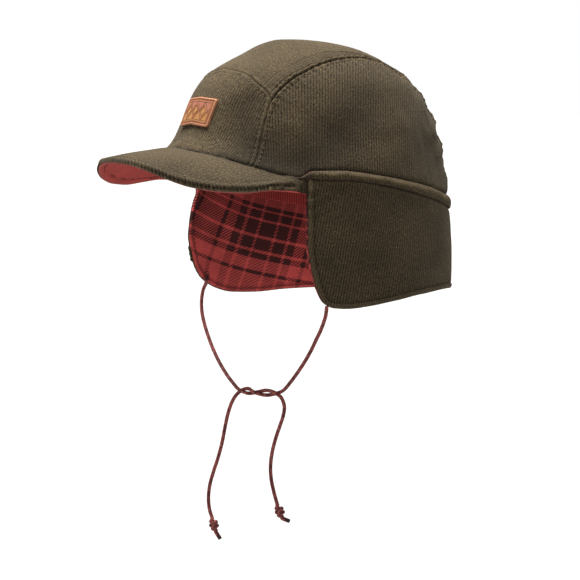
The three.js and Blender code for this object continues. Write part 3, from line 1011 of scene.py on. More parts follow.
@dataclass(frozen=True)
class CorduroyFinish(Finish):
    """Olive brown ribbed cotton with a short matt pile; its map counts ribs across and along."""

    name: str = "olive_corduroy"
    roughness: float = 0.93
    sheen: float = 0.05
    tint: Colour = (0.75, 0.66, 0.48)
    pile: Colour = (0.0640, 0.0452, 0.0220)
    groove: Colour = (0.0150, 0.0105, 0.0050)
    light: Colour = (0.220, 0.160, 0.086)
    # The near-black that painted shade darkens the pile toward.
    painted_shade: Colour = (0.0060, 0.0045, 0.0025)
    break_up: float = 0.55
    speck: float = 0.8
    contrast: float = 1.6
    rib_height: float = 0.0
    rib_fullness: float = 0.8
    wear_and_highlight_mix: float = 0.5
    tuft_dark: float = 0.28
    fibre_dark: float = 0.26
    tuft_height: float = 0.45
    fibre_height: float = 0.22
    bead: Grain = Grain(1.0, 2.0, 0.6, along=0.8)
    tuft: Grain = Grain(1.0, 3.0, 0.65, 2.8, 1.5)
    fibre: Grain = Grain(1700.0, 2.0, 0.6)
    cloud: Grain = Grain(26.0, 3.0, 0.55)

    def paint(self, shader: Shader) -> Socket:
        """Ribs broken up by tufts, with light flecks and dark specks, lighter where the pile is rubbed and a
        highlight is painted, and darker where shade is painted.
        """
        wave = shader.ribs(shader.uv()[0])
        bead, tuft = shader.cloth_noise(self.bead), shader.cloth_noise(self.tuft)
        fibre, cloud = shader.object_noise(self.fibre), shader.object_noise(self.cloud)
        broken = shader.plus(wave, shader.range(bead, (0.28, 0.72), -self.break_up / 2, self.break_up / 2))
        # The groove colour between the ribs is partly the bare ground, partly painted shade.
        body = shader.mix(shader.range(broken, (0.15, 0.85), 0.0, 1.0), self.groove, self.pile)
        body = shader.mix(shader.range(tuft, (0.54, 0.74), 0.0, self.speck), body, self.light)
        body = shader.scaled(body, tuft, 1.0 - self.tuft_dark * self.contrast, 1.0, (0.28, 0.46))
        uneven = self.fibre_dark * self.contrast
        body = shader.scaled(body, fibre, 1.0 - uneven, 1.0 + uneven)
        body = shader.scaled(body, cloud, 0.80, 1.20)
        # A painted highlight, partly rubbed pile, then painted shade, from the mesh's values.
        body = shader.mix(shader.range(shader.value("wear_and_highlight"), (0.0, 1.0), 0.0, self.wear_and_highlight_mix), body, self.light)
        body = shader.mix(shader.value("painted_shade"), body, self.painted_shade)
        nap = shader.plus(shader.times(tuft, self.tuft_height), shader.times(fibre, self.fibre_height))
        ribs = shader.times(shader.math("POWER", wave, self.rib_fullness), self.rib_height)
        shader.bump(shader.plus(nap, ribs), 1.0, 1.0)
        return body


@dataclass(frozen=True)
class PlainBackFinish(Finish):
    """The woven back of the corduroy, seen inside the crown."""

    name: str = "corduroy_back"
    sheen: float = 0.1
    tint: Colour = (0.7, 0.62, 0.5)
    colour: Colour = (0.045, 0.035, 0.019)
    threads: float = 18.0
    cloud: Grain = Grain(60.0, 3.0, 0.6)

    def paint(self, shader: Shader) -> Socket:
        """A plain weave."""
        warp, weft = (shader.math("SINE", shader.times(way, self.threads)) for way in shader.uv())
        weave = shader.times(warp, weft)
        body = shader.scaled(self.colour, weave, 0.8, 1.2, (-1.0, 1.0))
        shader.bump(weave, 0.3, 0.3)
        return shader.scaled(body, shader.object_noise(self.cloud), 0.9, 1.1)


@dataclass(frozen=True)
class Sett:
    """A plaid's stripes, in mm, from the middle of one mirror line to the next.

    Dark and red stripes take turns, and the first is dark.
    """

    widths: tuple[float, ...]

    @property
    def repeat(self) -> float:
        """The length after which the stripes start again."""
        return 2 * sum(self.widths)

    def stops(self) -> list[tuple[float, float]]:
        """Where each stripe starts, as a share of the repeat, and 1 if it is dark."""
        mirrored = list(self.widths) + list(self.widths[::-1])
        starts = np.concatenate([[0.0], np.cumsum(mirrored)])[:-1] / self.repeat
        dark = [1.0 - i % 2 for i in range(len(self.widths))]
        merged: list[tuple[float, float]] = []
        for start, is_dark in zip(starts, dark + dark[::-1]):
            if not merged or merged[-1][1] != is_dark:
                merged.append((float(start), is_dark))
        return merged


@dataclass(frozen=True)
class PlaidFinish(Finish):
    """Brushed flannel in a red and charcoal plaid, woven in twill; its map is in mm."""

    name: str = "red_plaid"
    sheen: float = 0.12
    tint: Colour = (0.9, 0.55, 0.5)
    red: Colour = (0.760, 0.110, 0.101)
    dark: Colour = (0.0090, 0.0095, 0.0095)
    edge: Colour = (0.300, 0.135, 0.115)
    level: Sett = Sett((5.1, 2.0, 7.9, 2.2, 4.3, 8.2, 2.4, 12.5))
    upright: Sett = Sett((5.1, 1.9, 7.9, 2.5, 6.0, 8.6, 3.4, 12.5))
    level_start: float = -54.2
    upright_start: float = 115.3
    twill: float = 1.8
    upright_show: float = 0.62
    frayed: float = 0.3
    fray: Grain = Grain(1.1)
    fluff: Grain = Grain(2.4, 4.0, 0.65)
    cloud: Grain = Grain(0.06, 3.0, 0.55)

    def stripes(self, shader: Shader, place: Socket, sett: Sett, start: float) -> Socket:
        """1 where a set of stripes is dark, and 0 where it is red.

        Args:
            shader: The material's nodes.
            place: The distance across the stripes, in mm.
            sett: The stripes.
            start: Where the first one starts, in mm.

        Returns:
            The mask.
        """
        repeats = shader.math("DIVIDE", shader.math("SUBTRACT", place, start), sett.repeat)
        ramp_node = shader.add("ValToRGB")
        ramp_node.color_ramp.interpolation = "CONSTANT"
        elements = ramp_node.color_ramp.elements
        elements.remove(elements[-1])
        for i, (position, is_dark) in enumerate(sett.stops()):
            element = elements.new(position) if i else elements[0]
            element.position = position
            element.color = (is_dark,) * 3 + (1.0,)
        shader.tree.links.new(shader.math("FRACT", repeats), ramp_node.inputs[0])
        return ramp_node.outputs[0]

    def paint(self, shader: Shader) -> Socket:
        """Stripes crossing in twill, under a light fluff."""
        across, up = shader.uv()
        fray = shader.range(shader.cloth_noise(self.fray), NOISE_SPAN, -self.frayed, self.frayed)
        level = self.stripes(shader, shader.plus(up, fray), self.level, self.level_start)
        upright = self.stripes(shader, shader.plus(across, fray), self.upright, self.upright_start)
        slant = shader.times(shader.plus(across, up), np.sqrt(0.5))
        hatch = shader.math("SINE", shader.times(slant, 2 * np.pi / self.twill))
        hatch = shader.range(hatch, (-0.55, 0.35), 0.12, 1.0)
        either = shader.math("MAXIMUM", level, shader.times(upright, self.upright_show))
        dark = shader.math("MAXIMUM", shader.times(level, upright), shader.times(either, hatch))
        fluff = shader.cloth_noise(self.fluff)
        red = shader.scaled(self.red, fluff, 0.56, 1.22)
        red = shader.scaled(red, shader.cloth_noise(self.cloud), 0.74, 1.12)
        body = shader.mix(shader.times(dark, shader.range(fluff, (0.25, 0.75), 1.0, 0.82)), red, self.dark)
        # Painted shade from the mesh darkens toward the dark stripe colour; the lightening value draws the
        # edge colour in.
        body = shader.mix(shader.value("painted_shade"), body, self.dark)
        shader.bump(shader.plus(fluff, shader.times(hatch, 0.25)), 0.5, 0.5)
        return shader.mix(shader.value("wear_and_highlight"), body, self.edge)


@dataclass(frozen=True)
class FlannelFinish(Finish):
    """Plain red cloth, ribbed on the band and brushed under the peak; its map counts ribs across."""

    name: str = "red_flannel"
    sheen: float = 0.12
    tint: Colour = (0.9, 0.5, 0.45)
    ridge: Colour = (0.540, 0.072, 0.062)
    valley: Colour = (0.090, 0.012, 0.012)
    edge: Colour = (0.420, 0.150, 0.125)
    rib_show: float = 1.0
    fluff: Grain = Grain(1.2, 3.0, 0.6, across=2.0)
    cloud: Grain = Grain(55.0, 3.0, 0.55)

    def paint(self, shader: Shader) -> Socket:
        """Ribs, their valleys darkened as painted shade, under a light fluff; painted shade from the mesh
        darkens toward the valley colour.
        """
        fluff = shader.cloth_noise(self.fluff)
        # The valley colour between the ribs is painted shade.
        ribs = shader.range(shader.ribs(shader.uv()[0]), (0.0, 1.0), 1.0 - self.rib_show, 1.0)
        body = shader.scaled(shader.mix(ribs, self.valley, self.ridge), fluff, 0.68, 1.26)
        body = shader.scaled(body, shader.object_noise(self.cloud), 0.86, 1.12)
        body = shader.mix(shader.value("wear_and_highlight"), body, self.edge)
        shader.bump(fluff, 0.4, 0.4)
        return shader.mix(shader.value("painted_shade"), body, self.valley)


@dataclass(frozen=True)
class LeatherFinish(Finish):
    """Cognac leather with a burnished edge, and tints pressed into its pattern."""

    name: str = "cognac_leather"
    roughness: float = 0.52
    body: Colour = (0.330, 0.125, 0.050)
    dark: Colour = (0.085, 0.026, 0.011)
    ochre: Colour = (0.400, 0.205, 0.062)
    rose: Colour = (0.350, 0.128, 0.095)
    edge: Colour = (0.480, 0.215, 0.120)
    cloud: Grain = Grain(120.0, 3.0, 0.6)
    grain: Grain = Grain(900.0, 4.0, 0.65)

    def paint(self, shader: Shader) -> Socket:
        """Clouded leather, then what the mesh says of its pattern and edge."""
        grain = shader.object_noise(self.grain)
        cloud = shader.range(shader.object_noise(self.cloud), NOISE_SPAN, 0.0, 0.5)
        body = shader.mix(cloud, self.body, self.dark)
        layers = (("ochre", self.ochre), ("rose", self.rose), ("pressed", self.dark), ("wear_and_highlight", self.edge))
        for name, colour in layers:
            body = shader.mix(shader.value(name), body, colour)
        shader.bump(grain, 0.35, 0.3)
        return shader.scaled(body, grain, 0.86, 1.12)


@dataclass(frozen=True)
class CordFinish(Finish):
    """Braided cord in dusty red, streaked dark; its map counts turns round, and cord widths along."""

    name: str = "braided_cord"
    roughness: float = 0.7
    sheen: float = 0.15
    tint: Colour = (0.9, 0.6, 0.55)
    red: Colour = (0.400, 0.070, 0.060)
    pink: Colour = (0.540, 0.190, 0.165)
    dark: Colour = (0.034, 0.013, 0.013)
    strands: float = 3.0
    slant: float = 0.9
    fleck: float = 0.5
    streaked: float = 0.85
    drift: Grain = Grain(1.5)
    strand: Grain = Grain(1.0, across=24.0, along=2.0)
    streak: Grain = Grain(1.6, across=3.0, along=0.34)

    def paint(self, shader: Shader) -> Socket:
        """Crossing strands, with dark flecks and longer dark streaks."""
        around, along = shader.uv()
        turned, climbed = shader.times(around, self.strands), shader.times(along, self.slant)
        left = shader.range(shader.math("FRACT", shader.plus(turned, climbed)), (0.42, 0.50), 0.0, 1.0)
        right = shader.math("FRACT", shader.math("SUBTRACT", turned, climbed))
        flecks = shader.times(left, shader.range(right, (0.34, 0.42), 0.0, 1.0))
        drift = shader.range(shader.cloth_noise(self.drift), (0.35, 0.65), 0.0, 0.7)
        streak = shader.range(shader.cloth_noise(self.streak), (0.42, 0.60), 0.0, self.streaked)
        strand = shader.cloth_noise(self.strand)
        body = shader.mix(drift, self.red, self.pink)
        body = shader.mix(shader.times(flecks, self.fleck), body, self.dark)
        body = shader.scaled(shader.mix(streak, body, self.dark), strand, 0.7, 1.25)
        shader.bump(strand, 0.4, 0.2)
        return shader.mix(shader.value("wear_and_highlight"), body, self.dark)


@dataclass(frozen=True)
class ThreadFinish(Finish):
    """Sewing thread."""

    roughness: float = 0.75
    colour: Colour = (0.1, 0.1, 0.1)
    twist: Grain = Grain(2600.0)

    def paint(self, shader: Shader) -> Socket:
        """Thread, a little uneven."""
        return shader.scaled(self.colour, shader.object_noise(self.twist), 0.7, 1.25)


@dataclass(frozen=True)
class Materials:
    """Every finish of the cap."""

    corduroy: bpy.types.Material
    leaning: bpy.types.Material
    brushed: bpy.types.Material
    back: bpy.types.Material
    plaid: bpy.types.Material
    flannel: bpy.types.Material
    peak_flannel: bpy.types.Material
    leather: bpy.types.Material
    cord: bpy.types.Material
    pale_thread: bpy.types.Material
    olive_thread: bpy.types.Material
    dark_thread: bpy.types.Material

    @classmethod
    def build(cls) -> "Materials":
        """Builds them all."""
        finishes = {
            "corduroy": CorduroyFinish(
                pile=(0.0700, 0.0495, 0.0240), groove=(0.021, 0.015, 0.0072),
                break_up=1.0, speck=1.0, contrast=2.2,
            ),
            "leaning": CorduroyFinish(
                "leaning_corduroy", groove=(0.0085, 0.0060, 0.0030), contrast=1.9, rib_height=0.12
            ),
            "brushed": CorduroyFinish(
                "brushed_corduroy", groove=(0.036, 0.026, 0.013), break_up=1.2, speck=1.0, contrast=2.0
            ),
            "back": PlainBackFinish(),
            "plaid": PlaidFinish(),
            "flannel": FlannelFinish(),
            "peak_flannel": FlannelFinish("peak_flannel", ridge=(0.560, 0.082, 0.068), rib_show=0.12),
            "leather": LeatherFinish(),
            "cord": CordFinish(),
            "pale_thread": ThreadFinish("pale_thread", colour=(0.112, 0.084, 0.046)),
            "olive_thread": ThreadFinish("olive_thread", colour=(0.072, 0.055, 0.030)),
            "dark_thread": ThreadFinish("dark_thread", colour=(0.028, 0.015, 0.013)),
        }
        return cls(**{slot: finish.build() for slot, finish in finishes.items()})


@dataclass
class Crown:
    """The four corduroy panels of the crown."""

    materials: Materials
    thickness: float = 2.0
    rim_gap: float = 0.3
    crumples: Rows = ((0.45, 24.0, 3), (0.16, 8.0, 4))
    back_crumples: Rows = ((0.4, 7.0, 9),)
    back_from: Span = (50.0, 80.0)
    nape_from: Span = (30.0, 60.0)
    nape_pucker: float = 0.9
    nape_pucker_length: float = 20.0
    nape_pucker_start: float = -6.0
    nape_pucker_reach: float = 11.0
    rim_pucker: float = 0.22
    rim_pucker_reach: float = 7.0
    rim_ripple: Ripple = Ripple(9.0, 1.0, 20.0, 8, 5)
    rib_lean: float = 0.662
    rib_level: float = 0.3
    crowding: float = 1.45
    front_ribs: float = 0.38
    top_ribs: float = 0.35
    side_ribs: float = 0.3
    rib_free: float = 1.4
    flat_seam: float = 0.35
    # How much painted highlight lies beside the seams, partly rubbed pile.
    flat_seam_wear_and_highlight: float = 0.4
    seam_wear_and_highlight: Rows = ((1.0, 1.7, 1.1),)
    # How much painted shade lies in the seams, the dents, above the peak and under the crown's lower edge.
    shallow_seam_shade: float = 0.1
    deep_seam_shade: float = 0.5
    hollow_shade: float = 0.2
    brim_shade: float = 0.5
    brim_turn: float = 46.0
    brim_span: float = 24.0
    brim_height: float = 19.0
    rim_tuck: float = 1.0
    rim_tuck_reach: float = 1.5
    rim_shadow: float = 0.8
    shade_reach: float = 0.7
    seam_offset: float = 40.0
    side_ends: Span = (-77.6, 91.9)
    front_end: float = 54.6
    front_level: float = 0.25
    strip_length: float = 230.0
    strip_halvings: int = 26
    pieces: dict[str, bpy.types.Object] = field(default_factory=dict)

    def layer(self, points: Array, across: Array, along: Array, ribs: float) -> Layer:
        """The crown's cloth at places on its outer face.

        Args:
            points: The smooth places, in mm.
            across: Distances across the ribs.
            along: Distances along the ribs.
            ribs: How much of the ribs' height the mesh shows.

        Returns:
            The layer, with its ribs, seams, puckers and soft creases, and with a painted highlight beside the
            seams and painted shade in them, in the dents, above the peak and under the crown's edge.
        """
        smooth = FORM.dented(points)
        flat_lines = [front_seam_line(1), front_seam_line(-1), brow_seam_line()]
        measured = [line.nearest(smooth) for line in (*flat_lines, top_seam_line(1), top_seam_line(-1))]
        distance = np.min([each[0] for each in measured], axis=0)
        which = np.argmin([each[0] for each in measured], axis=0)
        place = np.choose(which, [each[1] for each in measured]) + self.seam_offset * which
        flat = which < len(flat_lines)
        rim, rim_along = rim_line(0, FULL_TURN, 900).nearest(smooth)
        turn = FORM.turn_at(smooth[:, 0], smooth[:, 1])
        above = smooth[:, 2] - FORM.rim_height(turn) - FORM.welt_height(turn)
        sag = np.cos(2 * np.pi * (place - self.nape_pucker_start) / self.nape_pucker_length)
        sag *= ramp(smooth[:, 1], *self.nape_from) * ~flat
        relief = (
            ribs * RIBS.relief(across) * np.clip(distance / self.rib_free, 0.25, 1)
            + SEAM.relief(distance, place, np.where(flat, self.flat_seam, 1.0))
            - self.rim_tuck * bell(above, self.rim_tuck_reach)
            - self.nape_pucker * sag * np.exp(-distance / self.nape_pucker_reach)
            + lumps(smooth, self.crumples)
            + ramp(smooth[:, 1], *self.back_from) * lumps(smooth, self.back_crumples)
            + self.rim_pucker * self.rim_ripple.at(rim_along) * np.exp(-rim / self.rim_pucker_reach)
        )
        # A painted highlight on the ridges beside the seams, partly rubbed pile, lighter on the gathers'
        # crests.
        crest = SEAM.ripple.at(place)
        lit = np.where(flat, self.flat_seam_wear_and_highlight, 0.6 + 0.4 * crest)
        wear_and_highlight = lit * lines_beside(distance, self.seam_wear_and_highlight) * (0.6 + 0.5 * soft_noise(smooth, 2.4, 6))
        # Painted shade down in the seams, deeper in the gathers' troughs; painted shade in the dents and
        # above the peak; a painted shadow under the crown's edge.
        dark = np.where(flat, self.shallow_seam_shade, self.deep_seam_shade * (0.8 - 0.5 * crest))
        brim = bell(above, self.brim_height) * bell(FORM.spread(turn) - self.brim_turn, self.brim_span)
        shade = self.hollow_shade * FORM.hollow(points) + self.brim_shade * brim
        painted_seam_shade = dark * bell(distance, self.shade_reach) + self.rim_shadow * bell(above, self.shade_reach)
        return Layer(
            shown=smooth,
            hidden=FORM.inward(smooth, np.full(len(smooth), self.thickness)),
            cloth=np.stack([across, along], -1) / RIBS.pitch,
            relief=relief,
            wear_and_highlight=np.clip(wear_and_highlight, 0, 1),
            painted_shade=np.clip(painted_seam_shade + shade, 0, 1),
        )

    def finish(self, piece: bpy.types.Object, cloth: bpy.types.Material) -> None:
        """Dresses a panel in its cloth and keeps it for the stitching."""
        node = piece.name.removesuffix("_cloth")
        self.pieces[piece.name] = finish_piece(piece, [cloth, self.materials.back], [node])

    def build_side(self, hand: int) -> None:
        """Builds one side panel, its ribs leaning back as they climb.

        Args:
            hand: 1 for the wearer's left and -1 for the right.
        """
        line_y = np.linspace(*self.side_ends, 400)
        base = FORM.side_point(line_y, np.full(len(line_y), self.rib_level), 1)
        measure = arc_lengths(base)
        columns, _ = RIBS.columns(float(measure[-1]), modelled=False)

        def rib_place(points: Array) -> Array:
            """The distance across the leaning ribs at places on the panel."""
            foot = points[:, 1]
            for _ in range(4):
                inwards = np.interp(foot, line_y, base[:, 0]) - np.abs(points[:, 0])
                foot = points[:, 1] - self.rib_lean * inwards
            held = np.clip(foot, line_y[0], line_y[-1])
            return np.interp(held, line_y, measure) + foot - held

        def shape(across: Array, up: Array) -> Layer:
            """The panel at shares across and up."""
            y = np.interp(across * measure[-1], measure, line_y)
            rim = FORM.side_point(y, np.zeros(len(y)), hand)
            turn = FORM.turn_at(rim[:, 0], rim[:, 1])
            low = (FORM.welt_height(turn) + self.rim_gap) / (FORM.apex - FORM.rim_height(turn))
            high = np.maximum(FORM.seam_share(y, hand), low + 1e-4)
            points = FORM.side_point(y, low + (high - low) * up, hand)
            return self.layer(points, rib_place(points), points[:, 2], self.side_ribs)

        name = f"crown_side_{'left' if hand > 0 else 'right'}_cloth"
        self.finish(build_layer(name, columns, edge_shares(90, SEAM_ROWS, 46), shape), self.materials.leaning)

    def build_front(self) -> None:
        """Builds the front panel, its ribs upright."""
        line_x = np.linspace(-self.front_end, self.front_end, 300)
        measure = arc_lengths(FORM.front_point(line_x, np.full(len(line_x), self.front_level)))
        columns, width = RIBS.columns(float(measure[-1]))

        def shape(across: Array, up: Array) -> Layer:
            """The panel at shares across and up."""
            x = np.interp(across * measure[-1], measure, line_x)
            low = self.rim_gap / FORM.apex
            high = np.maximum(FORM.front_seam(np.abs(x)), low + 1e-4)
            points = FORM.front_point(x, low + (high - low) * up)
            return self.layer(points, across * width, points[:, 2], self.front_ribs)

        rows = edge_shares(60, SEAM_ROWS, 34)
        self.finish(build_layer("crown_front_cloth", columns, rows, shape), self.materials.corduroy)

    def build_top(self) -> None:
        """Builds the strip over the top, its ribs running from front to back."""
        half = float(FORM.side_seam(FORM.corner_y)) - 0.05
        columns, _ = RIBS.columns(2 * half)

        def shape(across: Array, up: Array) -> Layer:
            """The strip at shares across and along; its columns crowd towards the seams."""
            from_middle = 2 * across - 1
            x = np.sign(from_middle) * half * (1 - (1 - np.abs(from_middle)) ** self.crowding)
            seam = FORM.front_point(x, FORM.front_seam(np.abs(x)))
            front = np.degrees(np.arctan2(seam[:, 2] - FORM.strip_axis[1], FORM.strip_axis[0] - seam[:, 1]))
            low, high = front, np.full(len(x), FORM.strip_back)
            for _ in range(self.strip_halvings):
                swing = (low + high) / 2
                y = FORM.top_point(x, swing)[:, 1]
                within = FORM.side_seam(np.maximum(y, FORM.corner_y)) >= np.abs(x)
                low, high = np.where(within, swing, low), np.where(within, high, swing)
            points = FORM.top_point(x, front + (low - front) * up)
            return self.layer(points, x + half, up * self.strip_length, self.top_ribs)

        rows = edge_shares(self.strip_length, SEAM_ROWS, 84)
        self.finish(build_layer("crown_top_cloth", columns, rows, shape), self.materials.brushed)

    def build(self) -> None:
        """Builds every panel."""
        self.build_front()
        self.build_top()
        self.build_side(1)
        self.build_side(-1)


@dataclass
class Welt:
    """The rolled fold between the crown and the curtain."""

    materials: Materials
    start: float = 58.3
    proud: float = 1.5
    inset: float = 2.0
    lip: float = 0.8
    lip_proud: float = 0.15
    top_lip: float = 0.1
    top_lip_proud: float = -3.0
    lip_reach: float = 0.12
    fade_from: Span = (61.5, 67.5)
    faded: float = 0.04
    fullness: float = 0.3
    swell: float = 0.12
    rib_share: float = 0.8
    # The roll's upper row is lighter, partly rubbed pile and partly a painted highlight; painted shade lies
    # where it turns in at its edges and over its faded ends.
    wear_and_highlight: float = 0.75
    wear_and_highlight_row: Span = (0.62, 0.2)
    shade_until: float = 0.75
    faded_shade: float = 0.55

    def build(self) -> None:
        """Builds the fold, its short ribs upright."""
        turns = np.linspace(self.start, FULL_TURN - self.start, 800)
        measure = arc_lengths(FORM.rim_point(turns, 0.0, 0.0))
        columns, width = RIBS.columns(float(measure[-1]))

        def shape(across: Array, up: Array) -> Layer:
            """The fold at shares along and up; it fades to nothing at the temples."""
            turn = np.interp(across * measure[-1], measure, turns)
            fade = ramp(FORM.spread(turn), *self.fade_from)
            fade = self.faded + (1 - self.faded) * fade * fade * (3 - 2 * fade)
            z = FORM.rim_height(turn) - self.lip * fade
            z = z + (FORM.welt_height(turn) + self.top_lip + self.lip * fade) * up
            roll = np.sin(np.pi * np.clip(up, 0, 1)) ** self.fullness
            swell = self.swell * soft_noise(np.stack([turn * 1.6], -1), 16.0, 12, 6)
            edge = np.where(up < 0.5, self.lip_proud, self.top_lip_proud)
            shown = FORM.rim_point(turn, edge + (self.proud * fade - edge + swell) * roll, z)
            near_lip = bell(up, self.lip_reach) + bell(1 - up, self.lip_reach)
            lifted = (self.inset + edge - 0.15) * near_lip
            # A painted highlight along the upper row, partly rubbed pile.
            rubbed_and_lit = bell(up - self.wear_and_highlight_row[0], self.wear_and_highlight_row[1]) * (0.7 + 0.5 * soft_noise(shown, 5.0, 13))
            # Painted shade where the roll turns in at its edges and over its faded ends at the temples.
            return Layer(
                shown=shown,
                hidden=FORM.rim_point(turn, -self.inset + lifted, z),
                cloth=np.stack([across * width, z], -1) / RIBS.pitch,
                relief=self.rib_share * RIBS.relief(across * width) * roll,
                wear_and_highlight=self.wear_and_highlight * rubbed_and_lit * fade,
                painted_shade=(1 - np.clip(roll / self.shade_until, 0, 1)) * fade + self.faded_shade * (1 - fade),
            )

        piece = build_layer("crown_welt_cloth", columns, np.linspace(0, 1, 15), shape)
        finish_piece(piece, [self.materials.corduroy, self.materials.back], ["crown_welt"])


@dataclass
class Curtain:
    """The curtain over the ears and the nape: corduroy outside, plaid inside."""

    materials: Materials
    shell_thickness: float = 1.6
    lining_thickness: float = 1.2
    gap: float = 0.3
    edge_radius: float = 1.5
    stitch_gap: float = 3.6
    lining_edges: tuple[float, float] = (-0.75, -0.15)
    lining_rise: float = 0.5
    corner_span: float = 8.0
    rib_lean: float = 0.2
    rib_share: float = 0.3
    lean_until: float = 150.0
    lean_fade: float = 60.0
    level: float = -35.0
    flat_radius: float = 460.0
    flat_size: tuple[float, float] = (0.400, 0.085)
    lighter_edge: float = 1.0
    # Where painted shade lies: a line just inside the lining's edge, and a painted shadow over its upper
    # part.
    hem_line: float = 2.6
    inside_shade: float = 0.6
    shade_heights: Span = (-42.0, -8.0)
    shade_turns: Span = (276.0, 250.0)
    eased_from: float = -49.0
    ease: float = 0.5
    drawn_from: float = 104.0
    drawn: float = 0.35
    crowded: float = 14.0
    edge_lines: Rows = ((0.30, 2.1, 1.0), (-0.50, 3.6, 0.8))
    edge_ripple: Ripple = Ripple(5.6, 1.4, 12.0, 21)
    edge_pucker: Rows = ((0.16, 3.6, 2.6),)
    temple: tuple[float, float, float] = (75.5, -47.0, -8.0)
    temple_reach: float = 13.0
    temple_pucker: float = 0.6
    temple_pucker_length: float = 7.0
    folds: Rows = ((0.55, 20.0, 31),)
    small_folds: Rows = ((0.16, 8.0, 32),)
    tuck: float = 0.9
    tuck_reach: float = 1.6
    top_pucker: float = 0.2
    top_pucker_length: float = 9.0
    top_pucker_reach: float = 6.0
    # Lighter lines on the rolled edge and beside the stitching, partly rubbed pile and partly painted
    # highlight, and a painted highlight under the fold above.
    shell_wear_and_highlight: Rows = ((0.35, 0.9, 0.8), (0.2, 2.3, 0.8))
    top_highlight: Rows = ((0.25, 2.2, 0.9),)
    shell: bpy.types.Object | None = None
    lining: bpy.types.Object | None = None

    def outline(self, inset: float, edges: tuple[float, float], low: Callable[[Array], Array]) -> SeamLine:
        """The free edge of a layer: up one front edge, round the hem, up the other.

        Args:
            inset: From the curtain's outer face, in mm.
            edges: How many degrees the left and right front edges are drawn back.
            low: The height of the layer's hem at turns from the front.

        Returns:
            The edge.
        """
        start, end = FORM.curtain_edge + edges[0], FULL_TURN - FORM.curtain_edge - edges[1]
        rows = np.linspace(0, 1, 80)

        def front_edge(turn: float) -> Array:
            """One front edge, from the rim down."""
            turns = np.full(80, turn)
            top = FORM.curtain_top(turns)
            return FORM.curtain_point(turns, rows, inset, top, low(turns))

        crowded = self.crowded * np.linspace(0, 1, 120) ** 2
        middle = np.linspace(start + self.crowded, end - self.crowded, 420)[1:-1]
        turns = np.concatenate([start + crowded, middle, (end - crowded)[::-1]])
        level = low(turns)
        hem = FORM.curtain_point(turns, np.ones(len(turns)), inset, level, level)
        return SeamLine(np.concatenate([front_edge(start)[:-1], hem, front_edge(end)[::-1][1:]]))

    def lining_hem(self, turn: Array) -> Array:
        """The lining's lower edge, which follows the shell's round the left front corner."""
        ease = np.clip(1 - (turn - FORM.curtain_edge) / self.corner_span, 0, 1)
        return FORM.hem_height(turn - self.lining_edges[0] * ease) + self.lining_rise

    def rib_place(self, turn: Array, along: Array, z: Array) -> Array:
        """The distance across the ribs, which lean back as they climb at the ears."""
        ease = ramp(self.lean_until - FORM.spread(turn), 0, self.lean_fade)
        hand = np.where(turn > HALF_TURN, -1.0, 1.0)
        return along - hand * self.rib_lean * ease * (z - self.level)

    def edge_relief(self, distance: Array, along: Array) -> Array:
        """The turned edge with its row of topstitching."""
        return (
            edge_roll(distance, self.edge_radius)
            + lines_beside(distance, self.edge_lines)
            + self.edge_ripple.at(along) * lines_beside(distance, self.edge_pucker)
        )

    def creases(self, points: Array) -> Array:
        """Soft hollows of the hanging cloth, and the puckers under the temple."""
        near = np.linalg.norm(points - np.array(self.temple), axis=1)
        slant = points @ np.array([0.0, 0.45, -0.9])
        pucker = np.sin(2 * np.pi * slant / self.temple_pucker_length) * bell(near, self.temple_reach)
        drawn_out = points * np.array([1.0, 1.0, 0.45])
        return lumps(drawn_out, self.folds) + lumps(points, self.small_folds) + self.temple_pucker * pucker

    def top_tuck(self, below: Array, along: Array) -> Array:
        """How the shell turns in and puckers under the fold above it."""
        pucker = self.top_pucker * np.sin(2 * np.pi * along / self.top_pucker_length)
        return pucker * np.exp(-below / self.top_pucker_reach) - self.tuck * bell(below, self.tuck_reach)

    def build_shell(self) -> None:
        """Builds the corduroy outside."""
        start = FORM.curtain_edge
        turns = np.linspace(start, FULL_TURN - start, 900)
        measure = arc_lengths(FORM.rim_point(turns, 1.5, 0.0))
        columns, width = RIBS.columns(float(measure[-1]), modelled=False)
        edge = self.outline(0.0, (0.0, 0.0), FORM.hem_height)

        def shape(across: Array, up: Array) -> Layer:
            """The shell at shares round and down."""
            turn = np.interp(across * measure[-1], measure, turns)
            top, hem = FORM.curtain_top(turn) - self.gap, FORM.hem_height(turn)
            shown = FORM.curtain_point(turn, up, 0.0, top, hem)
            distance, along = edge.nearest(shown)
            below = top - shown[:, 2]
            ribs = self.rib_place(turn, across * width, shown[:, 2])
            relief = self.edge_relief(distance, along) + self.creases(shown)
            relief += self.top_tuck(below, across * width) + self.rib_share * RIBS.relief(ribs)
            # A painted highlight on the edge and just under the fold above, partly rubbed pile; a painted
            # shadow under that fold and painted shade in the stitch channel.
            wear_and_highlight = lines_beside(distance, self.shell_wear_and_highlight) + lines_beside(below, self.top_highlight)
            return Layer(
                shown=shown,
                hidden=FORM.curtain_point(turn, up, self.shell_thickness, top, hem),
                cloth=np.stack([ribs, shown[:, 2]], -1) / RIBS.pitch,
                relief=relief,
                wear_and_highlight=np.clip(wear_and_highlight, 0, 1),
                painted_shade=0.85 * bell(below, 0.8) + 0.45 * bell(distance - self.stitch_gap, 0.6),
            )

        rows = edge_shares(75, (0, 0.3, 0.7, 1.2, 1.8, 2.6, 3.4, 4.2, 5.4), 34)
        self.shell = build_layer("flap_shell_cloth", columns, rows, shape)
        finish_piece(self.shell, [self.materials.leaning, self.materials.back], ["flap_shell"])

